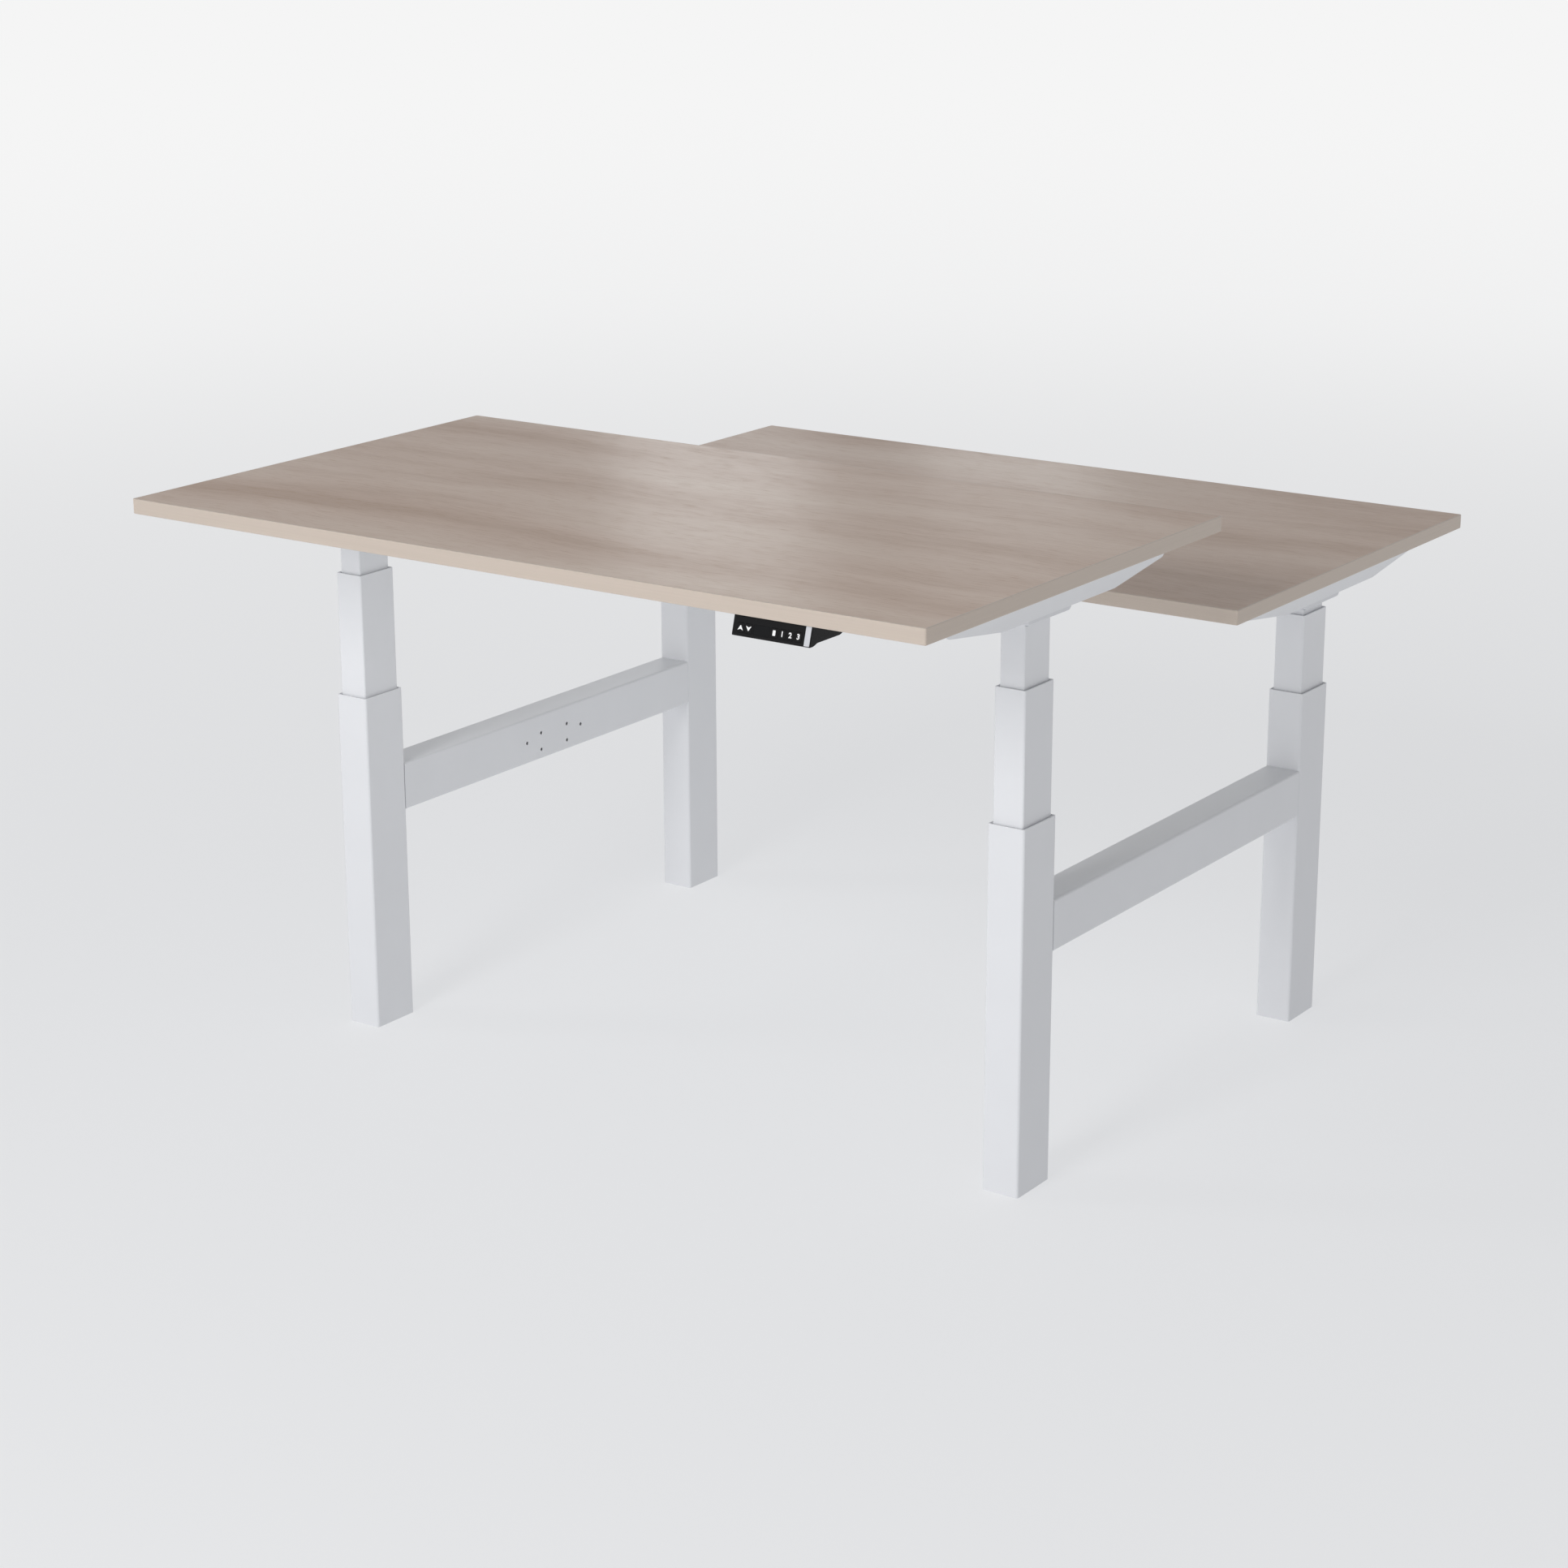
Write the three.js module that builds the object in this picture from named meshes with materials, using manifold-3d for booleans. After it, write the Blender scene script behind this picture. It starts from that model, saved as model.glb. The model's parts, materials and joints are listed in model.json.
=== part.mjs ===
// Height-adjustable benching desk for two people who sit face to face.
// Two tops stand back to back, each on a pair of three-stage lifting columns. A tie beam at each end
// joins the near column to the far one. Millimetres, +X along the tops, +Y from the near user to the
// far user, +Z up, origin on the floor in the middle of the bench.

import * as THREE from 'three';
import { mergeVertices } from 'three/addons/utils/BufferGeometryUtils.js';
import Module from 'manifold-3d';

// Tops
const TOP_WIDTH = 1400;
const TOP_DEPTH = 800;
const TOP_THICKNESS = 23;
const TOP_EDGE_ROUND = 1;
const TOP_CORNER_RADIUS = 3;
const TOP_GAP = 60;

// Heights of the two tops as they stand, and how much inner tube shows below each gear head
const NEAR_TOP_HEIGHT = 930;
const NEAR_INNER_SHOW = 92;
const FAR_TOP_HEIGHT = 776;
const FAR_INNER_SHOW = 10;

// Lowest setting, which fixes the lengths of the tubes and screws
const LOWEST_TOP_HEIGHT = 650;
const LOWEST_MIDDLE_SHOW = 5;
const FLOOR_RUN_GAP = 8;

// Column tubes, from the fixed outer tube to the inner tube that carries the top, all a little towards +Y
const COLUMN_INSET = 93;
const COLUMN_SHIFT = 4;
const OUTER_WIDTH = 60;
const OUTER_DEPTH = 88;
const OUTER_HEIGHT = 556;
const OUTER_WALL = 2;
const OUTER_CORNER = 4;
const MIDDLE_WALL = 2;
const INNER_WALL = 2;
const BASE_PLATE = 6;

// Glide sleeves between the tubes
const GLIDE_THICKNESS = 2.5;
const GLIDE_SEAT_GAP = 0.2;
const GLIDE_RUN_GAP = 0.3;
const GLIDE_RECESS = 1;
const LOWER_GLIDE_LENGTH = 240;
const UPPER_GLIDE_LENGTH = 130;

// Telescopic lifting screw inside each column
const SCREW_DIAMETER = 12;
const SCREW_FLANGE_DIAMETER = 24;
const SCREW_FLANGE_THICKNESS = 6;
const SCREW_TIP_GAP = 11;
const SLEEVE_WALL = 3.5;
const SLEEVE_DROP = 27;
const POST_WALL = 3;
const POST_DROP = 36;
const THREAD_GAP = 0.5;

// Tie beams and the holes for accessories in their inner faces
const BEAM_HEIGHT = 78;
const BEAM_TOP = 429;
const BEAM_WALL = 2;
const BEAM_CORNER = 4;
const BEAM_HOLE_DIAMETER = 6;
const BEAM_HOLE_DROP = 8;
const BEAM_PAIR_SPACING = 29;
const BEAM_PAIR_OFFSET = 35;
const BEAM_SINGLE_OFFSET = 73;
const BEAM_SINGLE_RISE = 5;

// Support arms: folded channels under each end of a top, shifted towards +Y to cover the motor
const ARM_WIDTH = 60;
const ARM_SHEET = 2.5;
const ARM_DEPTH = 53;
const ARM_TIP_DEPTH = 33;
const ARM_LENGTH = 600;
const ARM_FLAT_LENGTH = 305;
const ARM_SHIFT = 43;
const ARM_BEND_ROUND = 12;
const ARM_SLOT_WIDTH = 7;
const ARM_SLOT_LENGTH = 14;
const ARM_SLOT_END_INSET = 40;

// Gear heads and motors inside the arms
const HEAD_LENGTH = 119;
const HEAD_FRONT = 39;
const HEAD_DROP = 7.5;
const HEAD_SIDE_GAP = 0.3;
const HEAD_SLOPE = 5;
const HEAD_CORNER = 2;
const HEAD_EDGE_ROUND = 1.5;
const MOTOR_DIAMETER = 44;
const MOTOR_LENGTH = 80;
const MOTOR_CAP_DIAMETER = 28;
const MOTOR_CAP_LENGTH = 8;
const MOTOR_WEB_GAP = 2;

// Cross rails between the arms
const RAIL_WIDTH = 40;
const RAIL_HEIGHT = 25;
const RAIL_WALL = 2;
const RAIL_CORNER = 3;
const RAIL_OFFSET = 150;

// Control box under each top
const BOX_LENGTH = 240;
const BOX_WIDTH = 96;
const BOX_HEIGHT = 34;
const BOX_CORNER = 8;
const BOX_EDGE_ROUND = 2;
const INLET_WIDTH = 28;
const INLET_HEIGHT = 20;
const INLET_DEPTH = 16;
const SOCKET_WIDTH = 14;
const SOCKET_HEIGHT = 9;
const SOCKET_DEPTH = 10;
const SOCKET_PITCH = 20;
const SOCKET_COUNT = 3;

// Handset under the front edge of each top
const HANDSET_WIDTH = 125;
const HANDSET_ARM_GAP = 55;
const HANDSET_SETBACK = 8;
const HANDSET_LENGTH = 84;
const HANDSET_HEIGHT = 26;
const HANDSET_REAR_HEIGHT = 14;
const HANDSET_REAR_SLOPE = 18;
const FACE_HEIGHT = 29;
const FACE_TILT = THREE.MathUtils.degToRad(16);
const BEZEL_THICKNESS = 10;
const HANDSET_ROUND = 3;
const HANDSET_EDGE_ROUND = 1;
const DISPLAY_WIDTH = 26;
const DISPLAY_HEIGHT = 14;
const DISPLAY_RECESS = 0.6;
const DISPLAY_OFFSET = -16;

// Keys: two arrow keys and four memory keys along the handset's face
const KEY_WIDTH = 10.4;
const KEY_HEIGHT = 13;
const KEY_THICKNESS = 5;
const KEY_CORNER = 1.5;
const KEY_EDGE_ROUND = 0.4;
const KEY_PROUD = 0.4;
const KEY_PITCH = 12.8;
const KEY_TRAVEL = 1;
const KEY_GAP = 0.3;
const KEY_DROP = 3;
const ARROW_KEYS_OFFSET = -43;
const MEMORY_KEYS_OFFSET = 23.5;

// Facets of round corners, small moulded corners, bores and round bars
const CORNER_STEPS = 2;
const MOULDED_STEPS = 1;
const ROUND_STEPS = 16;

// Sizes that follow from the ones above
const DESK_OFFSET = (TOP_GAP + TOP_DEPTH) / 2;
const COLUMN_OFFSET = TOP_WIDTH / 2 - COLUMN_INSET;
const HANDSET_OFFSET = COLUMN_OFFSET - ARM_WIDTH / 2 - HANDSET_ARM_GAP - HANDSET_WIDTH / 2;
const GLIDE_STEP = GLIDE_SEAT_GAP + GLIDE_THICKNESS + GLIDE_RUN_GAP;
const HEAD_DEPTH = ARM_DEPTH + HEAD_DROP;
const LOWEST_HEAD = LOWEST_TOP_HEIGHT - TOP_THICKNESS - HEAD_DEPTH;
const TUBE_FLOOR = BASE_PLATE + FLOOR_RUN_GAP;
const MIDDLE_LENGTH = OUTER_HEIGHT + LOWEST_MIDDLE_SHOW - TUBE_FLOOR;
const INNER_LENGTH = LOWEST_HEAD - TUBE_FLOOR;
const SLEEVE_BORE = SCREW_DIAMETER + 2 * THREAD_GAP;
const SLEEVE_DIAMETER = SLEEVE_BORE + 2 * SLEEVE_WALL;
const POST_BORE = SLEEVE_DIAMETER + 2 * THREAD_GAP;
const POST_DIAMETER = POST_BORE + 2 * POST_WALL;

const OUTER_TUBE = { width: OUTER_WIDTH, depth: OUTER_DEPTH, wall: OUTER_WALL, corner: OUTER_CORNER };
const MIDDLE_TUBE = nestedTube(OUTER_TUBE, MIDDLE_WALL);
const INNER_TUBE = nestedTube(MIDDLE_TUBE, INNER_WALL);

const POWDER_COAT = new THREE.MeshStandardMaterial({ color: 0xe2e3e5, roughness: 0.55, metalness: 0.1 });
const OAK_BOARD = new THREE.MeshStandardMaterial({ color: 0xaa9a8c, roughness: 0.5, metalness: 0 });
const GLIDE_PLASTIC = new THREE.MeshStandardMaterial({ color: 0xc4c6c8, roughness: 0.6, metalness: 0 });
const BLACK_PLASTIC = new THREE.MeshStandardMaterial({ color: 0x1d1c1d, roughness: 0.3, metalness: 0 });
const KEY_PLASTIC = new THREE.MeshStandardMaterial({ color: 0x252426, roughness: 0.4, metalness: 0 });
const SCREW_STEEL = new THREE.MeshStandardMaterial({ color: 0x8f9194, roughness: 0.35, metalness: 0.9 });
const MOTOR_CASTING = new THREE.MeshStandardMaterial({ color: 0xd4d5d8, roughness: 0.55, metalness: 0.1 });

const wasm = await Module();
wasm.setup();

/** Section of the tube that slides inside another, with a glide sleeve between the two. */
function nestedTube(around, wall) {
  const step = around.wall + GLIDE_STEP;
  return {
    width: around.width - 2 * step,
    depth: around.depth - 2 * step,
    wall,
    corner: cornerInside(around.corner, step),
  };
}

/** Corner radius of an outline set in by a distance, never less than a broken edge. */
function cornerInside(corner, inset) {
  const brokenEdge = 0.5;
  return Math.max(corner - inset, brokenEdge);
}

/** Outline of a rectangle with round corners, centred on the origin. */
function roundRectangle(width, height, corner, outline = new THREE.Shape()) {
  const x = width / 2 - corner;
  const y = height / 2 - corner;
  const quarter = Math.PI / 2;
  outline.absarc(x, y, corner, 0, quarter);
  outline.absarc(-x, y, corner, quarter, 2 * quarter);
  outline.absarc(-x, -y, corner, 2 * quarter, 3 * quarter);
  outline.absarc(x, -y, corner, 3 * quarter, 4 * quarter);
  outline.closePath();
  return outline;
}

/** Outline of a rectangular tube's wall: a round rectangle with its bore. */
function tubeOutline({ width, depth, wall, corner }) {
  const outline = roundRectangle(width, depth, corner);
  const bore = new THREE.Path();
  roundRectangle(width - 2 * wall, depth - 2 * wall, cornerInside(corner, wall), bore);
  outline.holes.push(bore);
  return outline;
}

/** Closed outline through corners given as [x, y, radius], with a radius of 0 for a sharp corner. */
function softOutline(corners) {
  const outline = new THREE.Shape();
  corners.forEach(([x, y, radius], index) => {
    const corner = new THREE.Vector2(x, y);
    const pointTowards = ([otherX, otherY]) =>
      new THREE.Vector2(otherX, otherY).sub(corner).setLength(radius).add(corner);
    const start = pointTowards(corners.at(index - 1));
    const end = pointTowards(corners[(index + 1) % corners.length]);
    const draw = index === 0 ? 'moveTo' : 'lineTo';
    outline[draw](start.x, start.y);
    if (radius > 0) {
      outline.quadraticCurveTo(x, y, end.x, end.y);
    }
  });
  outline.closePath();
  return outline;
}

/** Outline pulled straight up from z = 0. */
function extrudeUp(outline, height, curveSegments = CORNER_STEPS) {
  return new THREE.ExtrudeGeometry(outline, { depth: height, bevelEnabled: false, curveSegments });
}

/** Outline pulled up from z = 0 with its upper and lower edges rounded off. */
function softExtrudeUp(outline, height, edge, steps = CORNER_STEPS) {
  const options = {
    depth: height - 2 * edge,
    bevelEnabled: true,
    bevelSize: edge,
    bevelOffset: -edge,
    bevelThickness: edge,
    bevelSegments: steps,
    curveSegments: steps,
  };
  return new THREE.ExtrudeGeometry(outline, options).translate(0, 0, edge);
}

/** Turns a shape drawn in Y and Z and pulled up by a length to lie along X, with its middle at x = 0. */
function layAlongX(geometry, length) {
  const turn = new THREE.Matrix4().makeBasis(
    new THREE.Vector3(0, 1, 0),
    new THREE.Vector3(0, 0, 1),
    new THREE.Vector3(1, 0, 0),
  );
  return geometry.translate(0, 0, -length / 2).applyMatrix4(turn);
}

/** Outline drawn in Y and Z, pulled along X with its middle at x = 0. */
function extrudeAlongX(outline, length) {
  return layAlongX(extrudeUp(outline, length), length);
}

/** Outline drawn in X and Z, pulled along Y with its middle at y = 0. */
function extrudeAlongY(outline, length) {
  return extrudeUp(outline, length).translate(0, 0, -length / 2).rotateX(Math.PI / 2);
}

/** Solid of revolution about Z from a profile of [radius, height] points. */
function revolve(profile) {
  const points = profile.map(([radius, height]) => new THREE.Vector2(radius, height));
  return new THREE.LatheGeometry(points, ROUND_STEPS).rotateX(Math.PI / 2);
}

/** Round bar standing on z = 0. */
function roundBar(diameter, length) {
  const radius = diameter / 2;
  return revolve([[0, 0], [radius, 0], [radius, length], [0, length]]);
}

/** Round tube standing on z = 0. */
function roundTube(diameter, bore, length) {
  const outside = diameter / 2;
  const inside = bore / 2;
  return revolve([[inside, 0], [outside, 0], [outside, length], [inside, length], [inside, 0]]);
}

/** Closed solid of a geometry, with its shared corners merged. */
function toSolid(geometry) {
  const bare = geometry.clone();
  bare.deleteAttribute('normal');
  bare.deleteAttribute('uv');
  const merged = mergeVertices(bare);
  const vertProperties = merged.attributes.position.array;
  const triVerts = Uint32Array.from(merged.index.array);
  return new wasm.Manifold(new wasm.Mesh({ numProp: 3, vertProperties, triVerts }));
}

/** Geometry of a solid. */
function toGeometry(solid) {
  const { vertProperties, triVerts } = solid.getMesh();
  const geometry = new THREE.BufferGeometry();
  geometry.setAttribute('position', new THREE.BufferAttribute(vertProperties, 3));
  geometry.setIndex(new THREE.BufferAttribute(triVerts, 1));
  geometry.computeVertexNormals();
  return geometry;
}

/** One geometry joined with others. */
function join(base, ...added) {
  return toGeometry(added.reduce((solid, geometry) => solid.add(toSolid(geometry)), toSolid(base)));
}

/** One geometry with others cut out of it. */
function cut(base, ...cutters) {
  return toGeometry(cutters.reduce((solid, geometry) => solid.subtract(toSolid(geometry)), toSolid(base)));
}

/** Named piece of the bench. */
function piece(name, geometry, material) {
  const mesh = new THREE.Mesh(geometry, material);
  mesh.name = name;
  return mesh;
}

/** Fixed outer tube, closed by its base plate, with the threaded post for the lifting screw. */
function outerTube() {
  const shell = extrudeUp(tubeOutline(OUTER_TUBE), OUTER_HEIGHT);
  const weld = OUTER_WALL / 2;
  const plateCorner = cornerInside(OUTER_CORNER, weld);
  const plateOutline = roundRectangle(OUTER_WIDTH - 2 * weld, OUTER_DEPTH - 2 * weld, plateCorner);
  const postFoot = BASE_PLATE / 2;
  const post = roundTube(POST_DIAMETER, POST_BORE, OUTER_HEIGHT - POST_DROP - postFoot);
  return join(shell, extrudeUp(plateOutline, BASE_PLATE), post.translate(0, 0, postFoot));
}

/** Glide sleeve that sits in the mouth of a tube and guides the next one. */
function glideSleeve(tube, length) {
  const inset = tube.wall + GLIDE_SEAT_GAP;
  const outline = tubeOutline({
    width: tube.width - 2 * inset,
    depth: tube.depth - 2 * inset,
    wall: GLIDE_THICKNESS,
    corner: cornerInside(tube.corner, inset),
  });
  return extrudeUp(outline, length);
}

/** Solid lifting screw, hanging from z = 0 by its bearing flange. */
function liftScrew() {
  const shank = SCREW_DIAMETER / 2;
  const flange = SCREW_FLANGE_DIAMETER / 2;
  const length = INNER_LENGTH - SCREW_TIP_GAP;
  return revolve([
    [0, -length],
    [shank, -length],
    [shank, -SCREW_FLANGE_THICKNESS],
    [flange, -SCREW_FLANGE_THICKNESS],
    [flange, 0],
    [0, 0],
  ]);
}

/** Support arm: an inverted channel with tapered side walls, hanging from z = 0, slotted for screws. */
function supportArm() {
  const front = ARM_SHIFT - ARM_LENGTH / 2;
  const rear = ARM_SHIFT + ARM_LENGTH / 2;
  const flatFront = ARM_SHIFT - ARM_FLAT_LENGTH / 2;
  const flatRear = ARM_SHIFT + ARM_FLAT_LENGTH / 2;
  const side = softOutline([
    [rear, 0, 0],
    [front, 0, 0],
    [front, -ARM_TIP_DEPTH, ARM_BEND_ROUND],
    [flatFront, -ARM_DEPTH, ARM_BEND_ROUND],
    [flatRear, -ARM_DEPTH, ARM_BEND_ROUND],
    [rear, -ARM_TIP_DEPTH, ARM_BEND_ROUND],
  ]);
  const blank = extrudeAlongX(side, ARM_WIDTH);

  const overrun = ARM_SHEET;
  const channelLength = ARM_LENGTH + 2 * overrun;
  const channel = new THREE.BoxGeometry(ARM_WIDTH - 2 * ARM_SHEET, channelLength, ARM_DEPTH);
  channel.translate(0, ARM_SHIFT, -ARM_SHEET - ARM_DEPTH / 2);

  const slots = [front + ARM_SLOT_END_INSET, rear - ARM_SLOT_END_INSET].map((y) => {
    const outline = roundRectangle(ARM_SLOT_WIDTH, ARM_SLOT_LENGTH, ARM_SLOT_WIDTH / 2);
    return extrudeUp(outline, ARM_SHEET + 2 * overrun).translate(0, y, -ARM_SHEET - overrun);
  });
  return cut(blank, channel, ...slots);
}

/** Gear head over the column with its motor lying along the arm, hanging under the arm's web. */
function gearMotor() {
  const width = ARM_WIDTH - 2 * (ARM_SHEET + HEAD_SIDE_GAP);
  const headRear = HEAD_LENGTH - HEAD_FRONT;
  const side = softOutline([
    [headRear, -ARM_SHEET, HEAD_CORNER],
    [-HEAD_FRONT, -ARM_SHEET, HEAD_CORNER],
    [-HEAD_FRONT, -HEAD_DEPTH, HEAD_CORNER],
    [headRear - HEAD_SLOPE, -HEAD_DEPTH, HEAD_CORNER],
    [headRear, HEAD_SLOPE - HEAD_DEPTH, HEAD_CORNER],
  ]);
  const head = layAlongX(softExtrudeUp(side, width, HEAD_EDGE_ROUND), width);

  const motorRadius = MOTOR_DIAMETER / 2;
  const capRadius = MOTOR_CAP_DIAMETER / 2;
  const rooted = HEAD_SLOPE + HEAD_EDGE_ROUND;
  const canEnd = rooted + MOTOR_LENGTH;
  const motor = revolve([
    [0, 0],
    [motorRadius, 0],
    [motorRadius, canEnd],
    [capRadius, canEnd],
    [capRadius, canEnd + MOTOR_CAP_LENGTH],
    [0, canEnd + MOTOR_CAP_LENGTH],
  ]);
  motor.rotateX(-Math.PI / 2);
  motor.translate(0, headRear - rooted, -ARM_SHEET - MOTOR_WEB_GAP - motorRadius);
  return join(head, motor);
}

/** Control box hanging from z = 0, with its mains inlet in one end and sockets along one side. */
function controlBox() {
  const body = softExtrudeUp(roundRectangle(BOX_LENGTH, BOX_WIDTH, BOX_CORNER), BOX_HEIGHT, BOX_EDGE_ROUND);
  body.translate(0, 0, -BOX_HEIGHT);
  const middle = -BOX_HEIGHT / 2;
  const inlet = new THREE.BoxGeometry(2 * INLET_DEPTH, INLET_WIDTH, INLET_HEIGHT);
  inlet.translate(BOX_LENGTH / 2, 0, middle);
  const sockets = Array.from({ length: SOCKET_COUNT }, (unused, index) => {
    const socket = new THREE.BoxGeometry(SOCKET_WIDTH, 2 * SOCKET_DEPTH, SOCKET_HEIGHT);
    const x = (index - (SOCKET_COUNT - 1) / 2) * SOCKET_PITCH;
    return socket.translate(x, BOX_WIDTH / 2, middle);
  });
  return cut(body, inlet, ...sockets);
}

/** Places along the handset's face of its keys, by name. */
function keyPlaces() {
  const row = (names, middle) =>
    names.map((name, index) => [name, middle + (index - (names.length - 1) / 2) * KEY_PITCH]);
  return [
    ...row(['up_key', 'down_key'], ARROW_KEYS_OFFSET),
    ...row(['memory_key_1', 'memory_key_2', 'memory_key_3', 'memory_key_4'], MEMORY_KEYS_OFFSET),
  ];
}

/** Turns a shape that lies flat at z = 0 into the handset's tilted face, x along it and below its middle. */
function onFace(geometry, x) {
  const drop = FACE_HEIGHT / 2;
  geometry.translate(0, -KEY_DROP, 0);
  geometry.rotateX(Math.PI / 2 - FACE_TILT);
  return geometry.translate(x, -drop * Math.tan(FACE_TILT), -drop);
}

/** Handset hanging from z = 0: a tilted bezel with pockets for the keys, and a housing behind it. */
function handset() {
  const lean = FACE_HEIGHT * Math.tan(FACE_TILT);
  const side = softOutline([
    [HANDSET_LENGTH, 0, 0],
    [0, 0, 0],
    [-lean, -FACE_HEIGHT, HANDSET_ROUND],
    [BEZEL_THICKNESS - lean, -FACE_HEIGHT, HANDSET_ROUND],
    [BEZEL_THICKNESS, -HANDSET_HEIGHT, HANDSET_ROUND],
    [HANDSET_LENGTH - HANDSET_REAR_SLOPE, -HANDSET_HEIGHT, HANDSET_ROUND],
    [HANDSET_LENGTH, -HANDSET_REAR_HEIGHT, HANDSET_ROUND],
  ]);
  const moulding = softExtrudeUp(side, HANDSET_WIDTH, HANDSET_EDGE_ROUND);
  const body = layAlongX(moulding, HANDSET_WIDTH);

  const sunk = KEY_THICKNESS - KEY_PROUD + KEY_TRAVEL + KEY_GAP;
  const pockets = keyPlaces().map(([, x]) => {
    const outline = roundRectangle(KEY_WIDTH + 2 * KEY_GAP, KEY_HEIGHT + 2 * KEY_GAP, KEY_CORNER + KEY_GAP);
    return onFace(extrudeUp(outline, 2 * sunk, MOULDED_STEPS).translate(0, 0, -sunk), x);
  });
  const display = new THREE.BoxGeometry(DISPLAY_WIDTH, DISPLAY_HEIGHT, 2 * DISPLAY_RECESS);
  return cut(body, onFace(display, DISPLAY_OFFSET), ...pockets);
}

/** Key that slides into its pocket in the handset's face. */
function key(x) {
  const outline = roundRectangle(KEY_WIDTH, KEY_HEIGHT, KEY_CORNER);
  const block = softExtrudeUp(outline, KEY_THICKNESS, KEY_EDGE_ROUND, MOULDED_STEPS);
  return onFace(block.translate(0, 0, KEY_PROUD - KEY_THICKNESS), x);
}

/** Tie beam from the near outer tube to the far one, with accessory holes in its +X wall. */
function tieBeam() {
  const length = 2 * DESK_OFFSET - OUTER_DEPTH;
  const section = { width: OUTER_WIDTH, depth: BEAM_HEIGHT, wall: BEAM_WALL, corner: BEAM_CORNER };
  const wallMiddle = OUTER_WIDTH / 2 - BEAM_WALL / 2;
  const drillLength = 3 * BEAM_WALL;
  const pair = BEAM_PAIR_SPACING / 2;
  const places = [-1, 1].flatMap((end) => [
    [end * BEAM_PAIR_OFFSET, pair],
    [end * BEAM_PAIR_OFFSET, -pair],
    [end * BEAM_SINGLE_OFFSET, BEAM_SINGLE_RISE],
  ]);
  const drills = places.map(([y, z]) => {
    const drill = roundBar(BEAM_HOLE_DIAMETER, drillLength).translate(0, 0, -drillLength / 2);
    return drill.rotateY(Math.PI / 2).translate(wallMiddle, y, z - BEAM_HOLE_DROP);
  });
  return cut(extrudeAlongY(tubeOutline(section), length), ...drills);
}

/** One lifting column with its support arm. The arm's longer end points to +Y. */
function column(name, topHeight, innerShow) {
  const underside = topHeight - TOP_THICKNESS;
  const headUnderside = underside - HEAD_DEPTH;
  const middleTop = headUnderside - innerShow;
  const middleBottom = middleTop - MIDDLE_LENGTH;
  const group = new THREE.Group();

  const outer = piece(`${name}_outer_tube`, outerTube(), POWDER_COAT);
  const lowerGlideShape = glideSleeve(OUTER_TUBE, LOWER_GLIDE_LENGTH);
  const lowerGlide = piece(`${name}_lower_glide`, lowerGlideShape, GLIDE_PLASTIC);
  lowerGlide.position.z = OUTER_HEIGHT - GLIDE_RECESS - LOWER_GLIDE_LENGTH;

  const middleShape = extrudeUp(tubeOutline(MIDDLE_TUBE), MIDDLE_LENGTH);
  const middle = piece(`${name}_middle_tube`, middleShape, POWDER_COAT);
  middle.position.z = middleBottom;
  const upperGlideShape = glideSleeve(MIDDLE_TUBE, UPPER_GLIDE_LENGTH);
  const upperGlide = piece(`${name}_upper_glide`, upperGlideShape, GLIDE_PLASTIC);
  upperGlide.position.z = middleTop - GLIDE_RECESS - UPPER_GLIDE_LENGTH;
  const sleeveShape = roundTube(SLEEVE_DIAMETER, SLEEVE_BORE, MIDDLE_LENGTH - SLEEVE_DROP);
  const sleeve = piece(`${name}_screw_sleeve`, sleeveShape, SCREW_STEEL);
  sleeve.position.z = middleBottom;

  const innerShape = extrudeUp(tubeOutline(INNER_TUBE), INNER_LENGTH);
  const inner = piece(`${name}_inner_tube`, innerShape, POWDER_COAT);
  inner.position.z = headUnderside - INNER_LENGTH;
  const screw = piece(`${name}_lift_screw`, liftScrew(), SCREW_STEEL);
  screw.position.z = headUnderside;
  const motor = piece(`${name}_gear_motor`, gearMotor(), MOTOR_CASTING);
  motor.position.z = underside;
  const arm = piece(`${name}_support_arm`, supportArm(), POWDER_COAT);
  arm.position.z = underside;

  group.add(outer, lowerGlide, middle, upperGlide, sleeve, inner, screw, motor, arm);
  return group;
}

/** One user's top and what hangs under it, with the user on the -Y side. */
function desk(name, topHeight) {
  const group = new THREE.Group();
  const outline = roundRectangle(TOP_WIDTH, TOP_DEPTH, TOP_CORNER_RADIUS);
  const board = softExtrudeUp(outline, TOP_THICKNESS, TOP_EDGE_ROUND);
  const top = piece(`${name}_top`, board, OAK_BOARD);
  top.position.z = topHeight - TOP_THICKNESS;
  group.add(top);

  const hung = new THREE.Group();
  hung.position.z = topHeight - TOP_THICKNESS;
  const railSection = { width: RAIL_WIDTH, depth: RAIL_HEIGHT, wall: RAIL_WALL, corner: RAIL_CORNER };
  const railLength = 2 * COLUMN_OFFSET - ARM_WIDTH;
  for (const [railName, offset] of [['front_rail', -RAIL_OFFSET], ['rear_rail', RAIL_OFFSET]]) {
    const railShape = extrudeAlongX(tubeOutline(railSection), railLength);
    const rail = piece(`${name}_${railName}`, railShape, POWDER_COAT);
    rail.position.set(0, offset, -RAIL_HEIGHT / 2);
    hung.add(rail);
  }
  hung.add(piece(`${name}_control_box`, controlBox(), BLACK_PLASTIC));

  const front = new THREE.Group();
  front.position.set(HANDSET_OFFSET, HANDSET_SETBACK - TOP_DEPTH / 2, 0);
  front.add(piece(`${name}_handset`, handset(), BLACK_PLASTIC));
  for (const [keyName, x] of keyPlaces()) {
    front.add(piece(`${name}_${keyName}`, key(x), KEY_PLASTIC));
  }
  hung.add(front);
  group.add(hung);
  return group;
}

const bench = new THREE.Group();

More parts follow.
